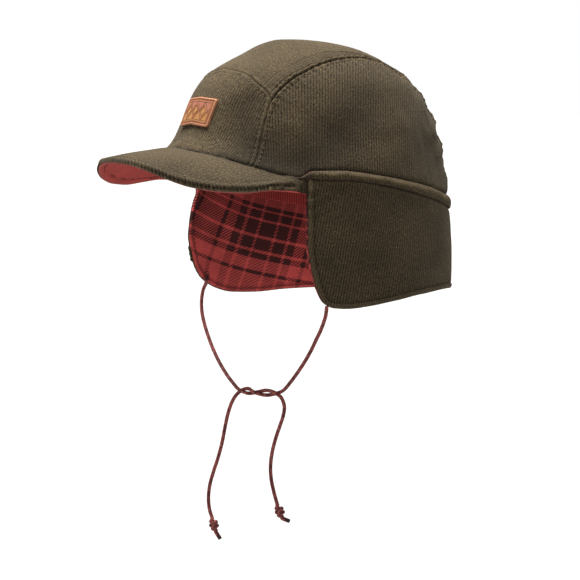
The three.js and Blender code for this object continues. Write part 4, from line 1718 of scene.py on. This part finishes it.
    def flat_cloth(self, turn: Array, z: Array) -> Array:
        """The place on the flat plaid cloth, cut on a curve centred below the nape."""
        nape = np.radians(turn - HALF_TURN) * 0.5 * (FORM.half_width + FORM.half_length)
        angle = nape / self.flat_radius
        radius = self.flat_radius + z
        across, up = radius * np.sin(angle), radius * np.cos(angle) - self.flat_radius
        across = across - np.sign(across) * self.drawn * np.maximum(0, self.drawn_from - np.abs(across))
        return np.stack([across, up + self.ease * np.maximum(0, up - self.eased_from)], -1)

    def build_lining(self) -> None:
        """Builds the plaid inside."""
        start = FORM.curtain_edge + self.lining_edges[0]
        end = FULL_TURN - FORM.curtain_edge - self.lining_edges[1]
        turns = np.linspace(start, end, 900)
        measure = arc_lengths(FORM.rim_point(turns, 0.0, 0.0))
        edge = self.outline(self.shell_thickness, self.lining_edges, self.lining_hem)
        behind = self.shell_thickness + 0.1
        inset = self.shell_thickness + self.gap + self.lining_thickness

        def shape(across: Array, up: Array) -> Layer:
            """The lining at shares round and down."""
            turn = np.interp(across * measure[-1], measure, turns)
            top, hem = FORM.curtain_top(turn) - 1.0, self.lining_hem(turn)
            shown = FORM.curtain_point(turn, up, inset, top, hem)
            distance, along = edge.nearest(shown)
            relief = self.edge_relief(np.maximum(distance - 0.8, 0), along) - self.creases(shown) * 0.8
            # A painted shadow over the upper part inside, fading out toward the right front edge.
            deep = ramp(shown[:, 2], *self.shade_heights) * ramp(turn, *self.shade_turns)
            # Lighter along the edge at the left front corner; painted shade in a line just inside the edge.
            return Layer(
                shown=shown,
                hidden=FORM.curtain_point(turn, up, behind, top, hem),
                cloth=self.flat_cloth(turn, shown[:, 2]),
                relief=relief,
                wear_and_highlight=0.9 * bell(distance, self.lighter_edge) * (turn < start + self.corner_span),
                painted_shade=np.clip(0.75 * bell(distance - self.hem_line, 0.5) + self.inside_shade * deep, 0, 1),
            )

        rows = edge_shares(75, (0, 0.4, 0.9, 1.5, 2.2, 3.0, 3.8, 4.6, 5.6), 26, both=False)
        self.lining = build_layer("flap_lining_cloth", 620, rows, shape)
        finish_piece(self.lining, [self.materials.plaid] * 2, ["flap_lining"])

    def build(self) -> None:
        """Builds both layers."""
        self.build_shell()
        self.build_lining()


@dataclass
class Sweatband:
    """The ribbed red band inside, over the joint of crown and curtain."""

    materials: Materials
    inset: float = 3.6
    thickness: float = 1.3
    above: float = 18.0
    rib: float = 1.7
    per_rib: int = 3

    def build(self) -> None:
        """Builds the band."""
        turns = np.linspace(0, FULL_TURN, 1200)
        drop = SmoothCurve(SWEATBAND_DROP)
        measure = arc_lengths(FORM.rim_point(turns, -self.inset - self.thickness, 0.0))
        ribs = round(float(measure[-1]) / self.rib)

        def shape(across: Array, up: Array) -> Layer:
            """The band at shares round and up."""
            turn = np.interp(across * measure[-1], measure, turns)
            rim = FORM.rim_height(turn)
            low = rim - drop(FORM.spread(turn))
            z = low + (rim + self.above - low) * up
            edge = np.minimum(z - low, rim + self.above - z)
            shown = FORM.inner_point(turn, z, self.inset + self.thickness)
            ridges = 0.16 * np.abs(np.sin(np.pi * across * ribs))
            wave = 0.25 * soft_noise(shown, 16.0, 41)
            return Layer(
                shown=shown,
                hidden=FORM.inner_point(turn, z, self.inset),
                cloth=np.stack([across * ribs, z / self.rib], -1),
                relief=ridges + wave + edge_roll(edge, 0.6),
                wear_and_highlight=np.zeros(len(turn)),
            )

        rows = edge_shares(30, (0, 0.25, 0.6, 1.2, 2.4), 5)
        piece = build_layer("sweatband_cloth", ribs * self.per_rib, rows, shape)
        in_edit_mode(piece, lambda: bpy.ops.mesh.remove_doubles(threshold=0.02 * MM))
        finish_piece(piece, [self.materials.flannel] * 2, ["sweatband"])


@dataclass
class Peak:
    """The curved peak: corduroy over a board, with red flannel below."""

    materials: Materials
    thickness: float = 2.8
    under_thickness: float = 0.8
    gap: float = 0.3
    limit: float = 73.8
    root_inset: float = 1.4
    root_tuck: float = 2.2
    tuck_until: float = 70.0
    tuck_span: float = 6.0
    under_inset: float = 1.3
    edge_radius: float = 1.9
    rib_share: float = 0.2
    rope: float = 0.35
    # Painted shade laid over the whole upper side, to tone down its light.
    shade: float = 0.18
    end_from: float = 63.0
    end_drop: tuple[float, float] = (0.6, 7.6)
    end_round: float = 3.4
    end_reach: float = 5.0
    rope_pitch: float = 2.6
    rope_slant: float = 0.8
    rope_gap: float = 1.2
    rope_reach: float = 1.9
    # A painted highlight on the rope's crests and painted shade in its troughs.
    rope_highlight: float = 0.3
    rope_shade: float = 0.8
    edge_fullness: float = 1.25
    stitch_gap: float = 5.2
    under_stitch_gap: float = 5.6
    crumples: Rows = ((0.22, 18.0, 51), (0.08, 6.0, 52))
    under_crumples: Rows = ((0.18, 14.0, 55),)
    top: bpy.types.Object | None = None
    under: bpy.types.Object | None = None

    def edge_line(self, drop: float, inset: float) -> SeamLine:
        """The free edge, from one temple round the tip to the other."""
        angle = np.radians(np.linspace(-82, 82, 900))
        x = FORM.temple_x * np.sin(angle)
        points = FORM.peak_point(x, np.ones(900), self.root(x), inset)
        points[:, 2] -= drop
        return SeamLine(points)

    def root(self, x: Array) -> Array:
        """How far the peak reaches in under the crown's edge at x, less beside the flaps."""
        return self.root_inset + self.root_tuck * ramp(self.tuck_until - np.abs(x), 0, self.tuck_span)

    def end_depth(self, x: Array, out: Array) -> Array:
        """How much deeper the peak's ends are, where its cloth gathers at the temples."""
        ease = ramp(np.abs(x), self.end_from, self.limit)
        edge, root = self.end_drop
        return ease**2 * (root + (edge - root) * out)

    def root_line(self) -> SeamLine:
        """The seam where the peak leaves the crown."""
        return rim_line(-61, 61, 300)

    def build_top(self) -> None:
        """Builds the corduroy upper side, wrapped round the board's edge."""
        columns, width = RIBS.columns(2 * self.limit)
        edge, root = self.edge_line(0.0, 0.0), self.root_line()

        def shape(across: Array, up: Array) -> Layer:
            """The peak at shares across and out."""
            x = (2 * across - 1) * self.limit
            shown = FORM.peak_point(x, up, self.root(x), 0.0)
            hidden = shown.copy()
            near_end = ramp(np.abs(x), self.limit - self.end_reach, self.limit)
            shown[:, 2] -= self.end_round * near_end**2 * up
            hidden[:, 2] -= self.thickness + self.end_depth(x, up)
            distance, along = edge.nearest(shown)
            seam, _ = root.nearest(shown)
            rope = np.sin(2 * np.pi * (along + self.rope_slant * distance) / self.rope_pitch)
            rope *= bell(distance - self.rope_gap, self.rope_reach)
            relief = (
                self.rib_share * RIBS.relief(across * width)
                + self.rope * rope
                + edge_roll(distance, self.edge_radius) * self.edge_fullness
                + lines_beside(distance, ((-0.22, self.stitch_gap, 0.9),))
                + lines_beside(seam, ((-0.5, 0.0, 1.5),))
                + lumps(shown, self.crumples)
            )
            # A painted highlight on the rolled edge and the rope's crests; painted shade over the whole side,
            # in the rope's troughs, in the stitch channel and at the seam under the crown.
            wear_and_highlight = lines_beside(distance, ((0.12, 3.0, 1.4),)) + self.rope_highlight * np.maximum(rope, 0)
            painted_shade = self.shade + self.rope_shade * np.maximum(-rope, 0)
            painted_shade += lines_beside(distance, ((0.2, self.stitch_gap, 0.7),))
            painted_shade += lines_beside(seam, ((0.9, 0.0, 1.0),))
            cloth = np.stack([across * width, shown[:, 1]], -1) / RIBS.pitch
            return Layer(shown, hidden, cloth, relief, wear_and_highlight, np.clip(painted_shade, 0, 1))

        rows = edge_shares(62, (0, 0.3, 0.7, 1.2, 1.8, 2.6, 3.8, 5.2, 6.6), 18)
        self.top = build_layer("peak_top_cloth", columns, rows, shape)
        finish_piece(self.top, [self.materials.brushed] * 2, ["peak_top"])

    def build_under(self) -> None:
        """Builds the flannel underside, its edge showing below the corduroy as a thin line."""
        edge = self.edge_line(self.thickness + self.gap, self.under_inset)

        def shape(across: Array, up: Array) -> Layer:
            """The underside at shares across and out."""
            x = (2 * across - 1) * (self.limit - 0.6)
            hidden = FORM.peak_point(x, up, self.root(x), self.under_inset)
            hidden[:, 2] -= self.thickness + 0.1 + self.end_depth(x, up)
            shown = hidden - np.array([0.0, 0.0, self.under_thickness])
            distance, along = edge.nearest(shown)
            ripple = np.sin(2 * np.pi * along / 6.0)
            relief = (
                edge_roll(np.maximum(distance - 0.4, 0), 0.7)
                + lines_beside(distance, ((-0.45, self.under_stitch_gap, 0.8),))
                + ripple * lines_beside(distance, ((0.12, self.under_stitch_gap, 2.4),))
                + lumps(shown, self.under_crumples)
            )
            # A paler line along the edge; painted shade in the stitch channel.
            wear_and_highlight = lines_beside(distance, ((0.8, 0.0, 0.9),))
            painted_shade = lines_beside(distance, ((0.8, self.under_stitch_gap, 0.5),))
            return Layer(shown, hidden, shown[:, :2] / RIBS.pitch, relief, wear_and_highlight, painted_shade)

        rows = edge_shares(62, (0, 0.4, 0.9, 1.6, 2.6, 4.0, 5.0, 6.2), 16)
        self.under = build_layer("peak_under_cloth", 300, rows, shape)
        finish_piece(self.under, [self.materials.peak_flannel] * 2, ["peak_under"])

    def build(self) -> None:
        """Builds both sides."""
        self.build_top()
        self.build_under()


@dataclass
class Patch:
    """The leather patch, with a border and a plain pressed pattern of diamonds."""

    materials: Materials
    half_width: float = 16.6
    half_height: float = 9.8
    low_share: float = 0.205
    high_share: float = 0.455
    thickness: float = 1.4
    gap: float = 0.3
    corner: float = 1.5
    edge_radius: float = 0.7
    pressed_depth: float = 0.28
    border: float = 1.9
    diamond: float = 4.1

    def rounded(self, x: Array, y: Array) -> tuple[Array, Array]:
        """A place on the oblong, drawn in at its corners."""
        wide, tall = self.half_width - self.corner, self.half_height - self.corner
        over_x, over_y = np.maximum(np.abs(x) - wide, 0), np.maximum(np.abs(y) - tall, 0)
        reach = np.maximum(np.hypot(over_x, over_y), 1e-9)
        shrink = np.where((over_x > 0) & (over_y > 0), np.maximum(over_x, over_y) / reach, 1.0)
        return (
            np.sign(x) * (np.minimum(np.abs(x), wide) + over_x * shrink),
            np.sign(y) * (np.minimum(np.abs(y), tall) + over_y * shrink),
        )

    def pattern(self, x: Array, y: Array) -> tuple[Array, Array, Array]:
        """The pressed lines and the two tints of the diamonds.

        Args:
            x: Across the patch, in mm.
            y: Up the patch, in mm.

        Returns:
            How deep the lines are pressed, where it is ochre and where it is rose.
        """
        inside = np.clip((self.half_width - 3.3 - np.abs(x)) / 0.4, 0, 1)
        inside *= np.clip((self.half_height - 3.0 - np.abs(y)) / 0.4, 0, 1)
        step = 2 * self.diamond
        cell = np.mod(x + self.diamond, step) - self.diamond
        ring = np.abs(cell) / self.diamond + np.abs(y) / (self.half_height - 3.4)
        lines = bell(ring - 1.0, 0.07) + bell(ring - 0.55, 0.07)
        bands = bell(np.abs(y) - (self.half_height - 3.6), 0.18)
        ochre = np.clip((0.52 - ring) / 0.05, 0, 1) + np.clip((ring - 1.04) / 0.05, 0, 1) * 0.8 * (y < 0)
        rose = np.clip((ring - 1.04) / 0.05, 0, 1) * (y > 0)
        return np.clip(lines + bands, 0, 1) * inside, np.clip(ochre, 0, 1) * inside, rose * inside

    def build(self) -> None:
        """Builds the patch."""
        tints: dict[str, Array] = {}

        def shape(across: Array, up: Array) -> Layer:
            """The patch at shares across and up."""
            flat_x = (2 * across - 1) * self.half_width
            flat_y = (2 * up - 1) * self.half_height
            x, y = self.rounded(flat_x, flat_y)
            share = self.low_share + (self.high_share - self.low_share) * (y / self.half_height + 1) / 2
            base = FORM.front_point(x, share)
            edge = np.minimum(self.half_width - np.abs(flat_x), self.half_height - np.abs(flat_y))
            pressed, ochre, rose = self.pattern(x, y)
            tints["pressed"] = 0.75 * pressed + 0.7 * bell(edge - self.border, 0.28)
            tints["ochre"], tints["rose"] = 0.75 * ochre, 0.65 * rose
            border = lines_beside(edge, ((0.16, 1.0, 0.5), (-0.30, self.border, 0.30)))
            return Layer(
                shown=FORM.inward(base, np.full(len(x), -self.gap - self.thickness - 0.4)),
                hidden=FORM.inward(base, np.full(len(x), -self.gap)),
                cloth=np.stack([x, y], -1),
                relief=edge_roll(edge, self.edge_radius) * 0.8 + border - self.pressed_depth * pressed,
                wear_and_highlight=lines_beside(edge, ((0.75, 0.5, 0.55),)),
            )

        piece = build_layer("patch_leather", 150, np.linspace(0, 1, 91), shape)
        for name, values in tints.items():
            write_values(piece.data, name, np.concatenate([values, np.zeros(len(values))]))
        finish_piece(piece, [self.materials.leather] * 2, ["patch"])


class StitchRow:
    """Rows of stitches, one small rounded dash each, made one mesh."""

    furthest: float = 2.4
    lift: float = 0.12

    def __init__(self, name: str, length: float = 2.2, pitch: float = 3.2, radius: float = 0.32) -> None:
        """Models the one stitch that is copied.

        Args:
            name: The piece's name.
            length: Of a stitch, in mm.
            pitch: From one stitch to the next, in mm.
            radius: Of the thread, in mm.
        """
        self.name, self.length, self.pitch, self.radius = name, length, pitch, radius
        deselect_all()
        bpy.ops.mesh.primitive_uv_sphere_add(segments=6, ring_count=5, radius=1.0, location=(0, 0, 0))
        model = bpy.context.object
        self.shape = coordinates(model.data) * MM
        # Blender keeps a sphere's faces in an order that varies, so they are sorted.
        self.faces = sorted(tuple(face.vertices) for face in model.data.polygons)
        bpy.data.meshes.remove(model.data)
        self.points: list[Array] = []

    def add(self, start: Vector, end: Vector, normal: Vector) -> None:
        """Adds a stitch between two places, lying on a surface.

        Args:
            start: Its first end, in metres.
            end: Its other end.
            normal: The surface's way out.
        """
        first, last = np.array(start) / MM, np.array(end) / MM
        way = last - first
        long = np.linalg.norm(way)
        if long < 0.2:
            return
        way /= long
        out = np.array(normal) - way * np.dot(normal, way)
        out /= np.linalg.norm(out)
        side = np.cross(out, way)
        shape = np.stack([side * self.radius, out * self.radius, way * long / 2])
        self.points.append(self.shape @ shape + (first + last) / 2 + out * self.lift)

    def follow(
        self, cloth: bpy.types.Object, seam: SeamLine, gap: float, inside: Array, ends: int = 1
    ) -> None:
        """Adds stitches on a piece of cloth beside a seam or an edge.

        Args:
            cloth: What they are sewn into; the row runs on its side of the seam.
            seam: The seam or the edge.
            gap: The row's distance from it, in mm.
            inside: A place within the cap, which tells the way out.
            ends: How many of the seam's points are left bare at each end.
        """
        rows = [SeamLine(beside(seam, side * gap, inside)[ends:-ends]) for side in (1, -1)]
        chain = min(rows, key=lambda row: np.mean([self.reach(cloth, point) for point in row.points[::9]]))
        count = int(chain.length // self.pitch)
        for i in range(count):
            middle = (i + 0.5) * chain.length / count
            tips = chain.at(np.array([middle - self.length / 2, middle + self.length / 2]))
            if max(self.reach(cloth, tip) for tip in tips) < self.furthest:
                found = [cloth.closest_point_on_mesh(Vector(tip * MM)) for tip in tips]
                self.add(found[0][1], found[1][1], found[0][2])

    def reach(self, cloth: bpy.types.Object, point: Array) -> float:
        """How far a place lies from a piece of cloth, in mm."""
        place = Vector(point * MM)
        return (cloth.closest_point_on_mesh(place)[1] - place).length / MM

    def build(self, material: bpy.types.Material, slot: Slot) -> bpy.types.Object:
        """Makes the piece.

        Args:
            material: The thread.
            slot: The record's material slot; not used.

        Returns:
            The piece.
        """
        starts = np.arange(len(self.points)) * len(self.shape)
        faces = [tuple(int(start) + corner for corner in face) for start in starts for face in self.faces]
        mesh = bpy.data.meshes.new(self.name)
        mesh.from_pydata((np.concatenate(self.points) * MM).tolist(), [], faces)
        piece = bpy.data.objects.new(self.name, mesh)
        bpy.context.scene.collection.objects.link(piece)
        return finish_piece(piece, [material])


def beside(line: SeamLine, gap: float, inside: Array) -> Array:
    """A row beside a seam, on the cloth.

    Args:
        line: The seam.
        gap: How far beside it, in mm; negative is the other side.
        inside: A place within the cap, which tells the way out.

    Returns:
        Places along the row.
    """
    points = line.points
    way = np.gradient(points, axis=0)
    way /= np.maximum(np.linalg.norm(way, axis=1, keepdims=True), 1e-9)
    out = points - inside
    out -= way * np.sum(out * way, axis=1, keepdims=True)
    out /= np.linalg.norm(out, axis=1, keepdims=True)
    return points + np.cross(way, out) * gap


@dataclass
class Needlework:
    """All the visible rows of stitching."""

    materials: Materials
    crown: Crown
    curtain: Curtain
    peak: Peak

    def crown_rows(self) -> None:
        """Sews the double rows along the crown's seams."""
        row = StitchRow("crown_stitches")
        middle = np.array(FORM.middle)
        pieces = self.crown.pieces
        front, top = pieces["crown_front_cloth"], pieces["crown_top_cloth"]
        seams = [(brow_seam_line(), front), (brow_seam_line(), top)]
        for hand, name in ((1, "left"), (-1, "right")):
            side = pieces[f"crown_side_{name}_cloth"]
            seams += [(front_seam_line(hand), front), (front_seam_line(hand), side)]
            seams += [(top_seam_line(hand), top), (top_seam_line(hand), side)]
        for seam, cloth in seams:
            row.follow(cloth, seam, SEAM.stitch_gap, middle)
        row.build(self.materials.pale_thread, Slot.CORDUROY)

    def curtain_rows(self) -> None:
        """Sews the row round the curtain's free edge, outside and inside."""
        outside = StitchRow("flap_stitches")
        inside = StitchRow("lining_stitches")
        middle = np.array([0.0, 0.0, -40.0])
        curtain = self.curtain
        for row, cloth, inset in ((outside, curtain.shell, 0.0), (inside, curtain.lining, 3.1)):
            edge = curtain.outline(inset, (0.0, 0.0), FORM.hem_height)
            row.follow(cloth, edge, curtain.stitch_gap, middle, 4)
        outside.build(self.materials.olive_thread, Slot.CORDUROY)
        inside.build(self.materials.dark_thread, Slot.PLAID)

    def peak_rows(self) -> None:
        """Sews the row inside the peak's free edge, above and below."""
        above = StitchRow("peak_stitches")
        below = StitchRow("peak_under_stitches")
        low = np.array([0.0, -100.0, -300.0])
        peak = self.peak
        above.follow(peak.top, peak.edge_line(0.0, 0.0), peak.stitch_gap, low, 16)
        below.follow(peak.under, peak.edge_line(4.3, 0.4), peak.under_stitch_gap, low, 16)
        above.build(self.materials.olive_thread, Slot.CORDUROY)
        below.build(self.materials.dark_thread, Slot.FLANNEL)

    def build(self) -> None:
        """Sews every row."""
        self.crown_rows()
        self.curtain_rows()
        self.peak_rows()


def through_points(route: Rows, per_span: int = 14) -> Array:
    """A smooth line through given points, as a cord lies.

    Args:
        route: The points, in mm.
        per_span: Steps from one point to the next.

    Returns:
        Places along the line, in mm.
    """
    given = np.array(route, float)
    chain = np.concatenate([[2 * given[0] - given[1]], given, [2 * given[-1] - given[-2]]])
    line = []
    for i in range(1, len(chain) - 2):
        a, b, c, d = chain[i - 1 : i + 3]
        before, here, after = (np.linalg.norm(q - p) ** 0.5 for p, q in ((a, b), (b, c), (c, d)))
        leave = ((b - a) / before - (c - a) / (before + here) + (c - b) / here) * here
        arrive = ((c - b) / here - (d - b) / (here + after) + (d - c) / after) * here
        t = np.linspace(0, 1, per_span, endpoint=False)[:, None]
        line.append(
            (2 * t**3 - 3 * t**2 + 1) * b + (t**3 - 2 * t**2 + t) * leave
            + (3 * t**2 - 2 * t**3) * c + (t**3 - t**2) * arrive
        )
    return np.concatenate([*line, given[-1:]])


def steady_frames(line: Array) -> tuple[Array, Array]:
    """Two ways across a line at each of its places, which don't spin about it."""
    way = np.gradient(line, axis=0)
    way /= np.linalg.norm(way, axis=1, keepdims=True)
    across = np.empty_like(line)
    across[0] = np.cross(way[0], [0.3, 0.9, 0.1])
    across[0] /= np.linalg.norm(across[0])
    for i in range(1, len(line)):
        across[i] = across[i - 1] - way[i] * np.dot(across[i - 1], way[i])
        across[i] /= np.linalg.norm(across[i])
    return across, np.cross(way, across)


def build_tube(
    name: str,
    line: Array,
    radius: Callable[[Array, Array], Array],
    sides: int,
    wear_and_highlight: Callable[[Array], Array],
) -> bpy.types.Object:
    """Makes a closed round body along a line.

    Args:
        name: The piece's name.
        line: Places along its middle, in mm.
        radius: Its radius at distances along and turns round.
        sides: Faces round.
        wear_and_highlight: The mesh's wear value at shares along.

    Returns:
        The piece.
    """
    piece, around, along = add_grid(name, sides, len(line) - 1)
    first, second = steady_frames(line)
    measure = arc_lengths(line)
    step = np.rint(along * (len(line) - 1)).astype(int)
    angle = around * 2 * np.pi
    out = np.cos(angle)[:, None] * first[step] + np.sin(angle)[:, None] * second[step]
    place_vertices(piece.data, line[step] + radius(measure[step], angle)[:, None] * out)
    write_uv(piece.data, np.stack([around, measure[step] / CORD_WIDTH], -1))
    write_values(piece.data, "wear_and_highlight", wear_and_highlight(measure[step] / measure[-1]))

    def close() -> None:
        """Joins the tube's two sides and fills its ends."""
        bpy.ops.mesh.remove_doubles(threshold=0.005 * MM)
        bpy.ops.mesh.select_all(action="SELECT")
        bpy.ops.mesh.fill_holes(sides=0)
        bpy.ops.mesh.select_all(action="SELECT")
        bpy.ops.mesh.normals_make_consistent(inside=False)

    in_edit_mode(piece, close)
    return piece


LEFT_ROUTE: Rows = (
    (78.6, -36.2, -78.1), (78.0, -36.8, -84.6), (74.0, -37.6, -93.5), (68.4, -37.8, -101.0),
    (61.8, -37.6, -109.0), (54.0, -37.4, -117.0), (45.2, -37.2, -125.0), (35.4, -36.4, -132.4),
    (26.0, -34.9, -138.0), (18.0, -34.1, -140.9), (9.5, -38.2, -143.1), (1.0, -42.4, -141.8),
    (-6.0, -42.8, -139.9), (-12.6, -43.1, -141.2), (-17.2, -45.4, -145.0), (-20.8, -46.9, -150.6),
    (-24.0, -47.9, -158.5), (-26.6, -48.7, -168.0), (-29.2, -49.5, -179.0), (-32.8, -50.6, -190.0),
    (-37.0, -51.7, -200.0), (-40.0, -52.6, -209.0), (-41.2, -53.0, -218.0), (-40.2, -52.8, -226.0),
    (-38.0, -52.1, -231.6),
)
RIGHT_ROUTE: Rows = (
    (-82.2, -29.2, -74.0), (-82.4, -31.2, -78.0), (-82.6, -32.6, -86.0), (-81.0, -33.2, -94.0),
    (-76.4, -34.0, -102.0), (-69.4, -35.2, -110.0), (-60.6, -36.8, -118.0), (-49.6, -38.9, -125.6),
    (-36.4, -41.6, -132.4), (-22.8, -44.6, -137.4), (-11.8, -46.1, -141.2), (-6.0, -42.8, -143.1),
    (0.0, -39.4, -141.8), (9.5, -38.2, -139.9), (18.9, -37.1, -140.9), (22.8, -35.0, -144.0),
    (24.6, -33.9, -149.5), (23.4, -34.0, -156.0), (20.4, -34.9, -163.5), (17.0, -35.9, -172.0),
    (14.2, -36.7, -181.0), (12.8, -37.2, -190.0), (13.2, -37.1, -199.0), (15.4, -36.4, -208.0),
    (18.4, -35.5, -216.6),
)


@dataclass
class ChinCord:
    """One chin cord and the stopper knot at its end."""

    materials: Materials
    side: str
    route: Rows
    knot_way: tuple[float, float, float]
    tail_way: tuple[float, float, float]
    tail: float = 7.0
    diameter: float = CORD_WIDTH
    sides: int = 16
    knot_sides: int = 12
    braid_height: float = 0.045
    braid_length: float = 4.0
    wraps: float = 2.7
    wrap_reach: float = 2.2
    wrap_start: float = 1.3
    wrap_length: float = 7.2
    swollen: float = 1.14
    whipped: Span = (0.93, 0.97)

    def braid(self, along: Array, angle: Array) -> Array:
        """The cord's radius with the low humps of its braid."""
        turn = 2 * np.pi * along / self.braid_length
        humps = np.sin(4 * angle + turn) * np.sin(4 * angle - turn)
        return self.diameter / 2 * (1 + self.braid_height * humps)

    def build_knot(self) -> bpy.types.Object:
        """Builds the knot: the cord wrapped round itself, then its short tail.

        Returns:
            The piece.
        """
        end = np.array(self.route[-1], float)
        axis = np.array(self.knot_way, float)
        axis /= np.linalg.norm(axis)
        side = np.cross(axis, [0.2, 1.0, 0.1])
        side /= np.linalg.norm(side)
        other = np.cross(axis, side)
        tail_way = np.array(self.tail_way, float)
        tail_way /= np.linalg.norm(tail_way)
        turns = np.linspace(0, 1, 70)
        angle = (2 * np.pi * self.wraps * turns)[:, None]
        reach = self.wrap_reach * np.sin(np.pi * np.clip(turns * 1.02, 0, 1)) ** 0.35
        wraps = (
            end + axis * (self.wrap_start + self.wrap_length * turns)[:, None]
            + (side * np.cos(angle) + other * np.sin(angle)) * reach[:, None]
            + side * 0.3 * np.sin(angle)
        )
        tuck = end + axis * 9.7
        finish = end + axis * 9.4 + tail_way * (self.tail - 0.6)
        start = end + axis * 0.25
        coarse = [start, *wraps[4:-3:6], end + axis * 9.1 + side * 0.8, tuck, finish]
        line = through_points(coarse, 7)
        piece = build_tube(
            f"knot_{self.side}_cord", line, lambda along, angle: self.braid(along, angle) * self.swollen,
            self.knot_sides, lambda share: ramp(share, *self.whipped),
        )
        return finish_piece(piece, [self.materials.cord], [f"knot_{self.side}"])

    def build(self) -> None:
        line = through_points(self.route)
        piece = build_tube(f"chin_cord_{self.side}", line, self.braid, self.sides, lambda share: 0 * share)
        finish_piece(piece, [self.materials.cord], [f"cord_{self.side}"])
        knot = self.build_knot()


@dataclass
class CordTack:
    """The right cord's root on the lining, held down by a bar of stitches."""

    materials: Materials
    inside: tuple[float, float, float] = (-79.6, -29.4, -66.4)
    over_hem: tuple[float, float, float] = (-79.2, -30.8, -72.0)
    diameter: float = CORD_WIDTH
    bars: int = 6
    bar_length: float = 3.4
    bar_pitch: float = 0.75
    first_bar: float = 1.2

    def build(self) -> None:
        """Builds the cord's root and its stitches."""
        start, turn = np.array(self.inside), np.array(self.over_hem)
        line = through_points([start, (start + turn) / 2, turn, np.array(RIGHT_ROUTE[0]) - [0, 0, 0.6]], 8)
        radius = self.diameter / 2
        root = build_tube(
            "cord_root_right", line, lambda along, angle: radius + 0 * along, 14, lambda share: 0 * share
        )
        finish_piece(root, [self.materials.cord])
        tack = StitchRow("cord_tack")
        down = turn - start
        down /= np.linalg.norm(down)
        out = np.array([0.93, -0.3, 0.0])
        across = np.cross(down, out)
        for i in range(self.bars):
            middle = start + down * (self.first_bar + i * self.bar_pitch) + out * (radius + 0.05)
            ends = [middle + side * across * self.bar_length / 2 for side in (-1, 1)]
            tack.add(Vector(ends[0] * MM), Vector(ends[1] * MM), Vector(out))
        tack.build(self.materials.dark_thread, Slot.CORD)


@dataclass
class Studio:
    """The pale floor, the soft light from above and the white surround."""

    floor_z: float = -1000.0
    floor_size: float = 90000.0
    floor_tone: float = 0.38
    near_tone: float = 0.14
    near_radius: float = 2000.0
    far_radius: float = 3600.0
    key_way: tuple[float, float, float] = (-0.17, -0.04, 1.0)
    key_strength: float = 9.2
    key_angle: float = 44.0
    white_band: float = 0.10
    band_end: float = 0.22
    sky: float = 0.25

    def build_floor(self) -> None:
        """Builds the floor, a little greyer under the cap."""
        deselect_all()
        bpy.ops.mesh.primitive_plane_add(size=self.floor_size * MM, location=(0, 0, self.floor_z * MM))
        floor = bpy.context.object
        floor.name = "floor"
        paint = Shader("pale_floor")
        reach = paint.add("VectorMath")
        reach.operation = "LENGTH"
        paint.tree.links.new(paint.object_place(), reach.inputs[0])
        spread = (self.near_radius * MM, self.far_radius * MM)
        tone = paint.range(reach.outputs["Value"], spread, self.near_tone, self.floor_tone)
        floor.data.materials.append(paint.dress(paint.combine(tone, tone, tone), 0.9, 0.0, (1.0, 1.0, 1.0)))

    def build_light(self) -> None:
        """Builds the large soft light above, a little to the front."""
        bpy.ops.object.light_add(type="SUN", location=(0, 0, 2))
        lamp = bpy.context.object
        lamp.name = "key_light"
        lamp.data.energy = self.key_strength
        lamp.data.angle = np.radians(self.key_angle)
        lamp.data.color = (1.0, 0.985, 0.96)
        lamp.rotation_euler = Vector(self.key_way).to_track_quat("Z", "Y").to_euler()

    def build_sky(self) -> None:
        """Builds the surround: white level with the cap, and a dimmer dome above."""
        world = bpy.data.worlds.new("studio")
        world.use_nodes = True
        tree = world.node_tree
        place = tree.nodes.new("ShaderNodeTexCoord")
        split = tree.nodes.new("ShaderNodeSeparateXYZ")
        fade = tree.nodes.new("ShaderNodeMapRange")
        fade.interpolation_type = "SMOOTHSTEP"
        ends = (self.white_band, self.band_end, 1.0, self.sky)
        for key, number in zip(("From Min", "From Max", "To Min", "To Max"), ends):
            fade.inputs[key].default_value = number
        tree.links.new(place.outputs["Generated"], split.inputs[0])
        tree.links.new(split.outputs[2], fade.inputs["Value"])
        tree.links.new(fade.outputs["Result"], tree.nodes["Background"].inputs["Strength"])
        tree.nodes["Background"].inputs["Color"].default_value = (1.0, 1.0, 1.0, 1.0)
        bpy.context.scene.world = world

    def build(self) -> None:
        """Builds the surround, and shows its colours unchanged."""
        self.build_floor()
        self.build_light()
        self.build_sky()
        bpy.context.scene.view_settings.view_transform = "Standard"
        bpy.context.scene.view_settings.look = "None"


def main() -> None:
    """Builds the camera, the cap and its surround."""
    CameraPlace().build()
    materials = Materials.build()
    ChinCord(materials, "left", LEFT_ROUTE, (0.32, 0.1, -0.94), (0.62, 0.18, -0.76)).build()
    ChinCord(materials, "right", RIGHT_ROUTE, (0.42, 0.12, -0.9), (0.93, 0.27, -0.26)).build()
    crown = Crown(materials)
    crown.build()
    Welt(materials).build()
    curtain = Curtain(materials)
    curtain.build()
    Sweatband(materials).build()
    peak = Peak(materials)
    peak.build()
    Patch(materials).build()
    Needlework(materials, crown, curtain, peak).build()
    CordTack(materials).build()
    Studio().build()


if __name__ == "__main__":
    main()
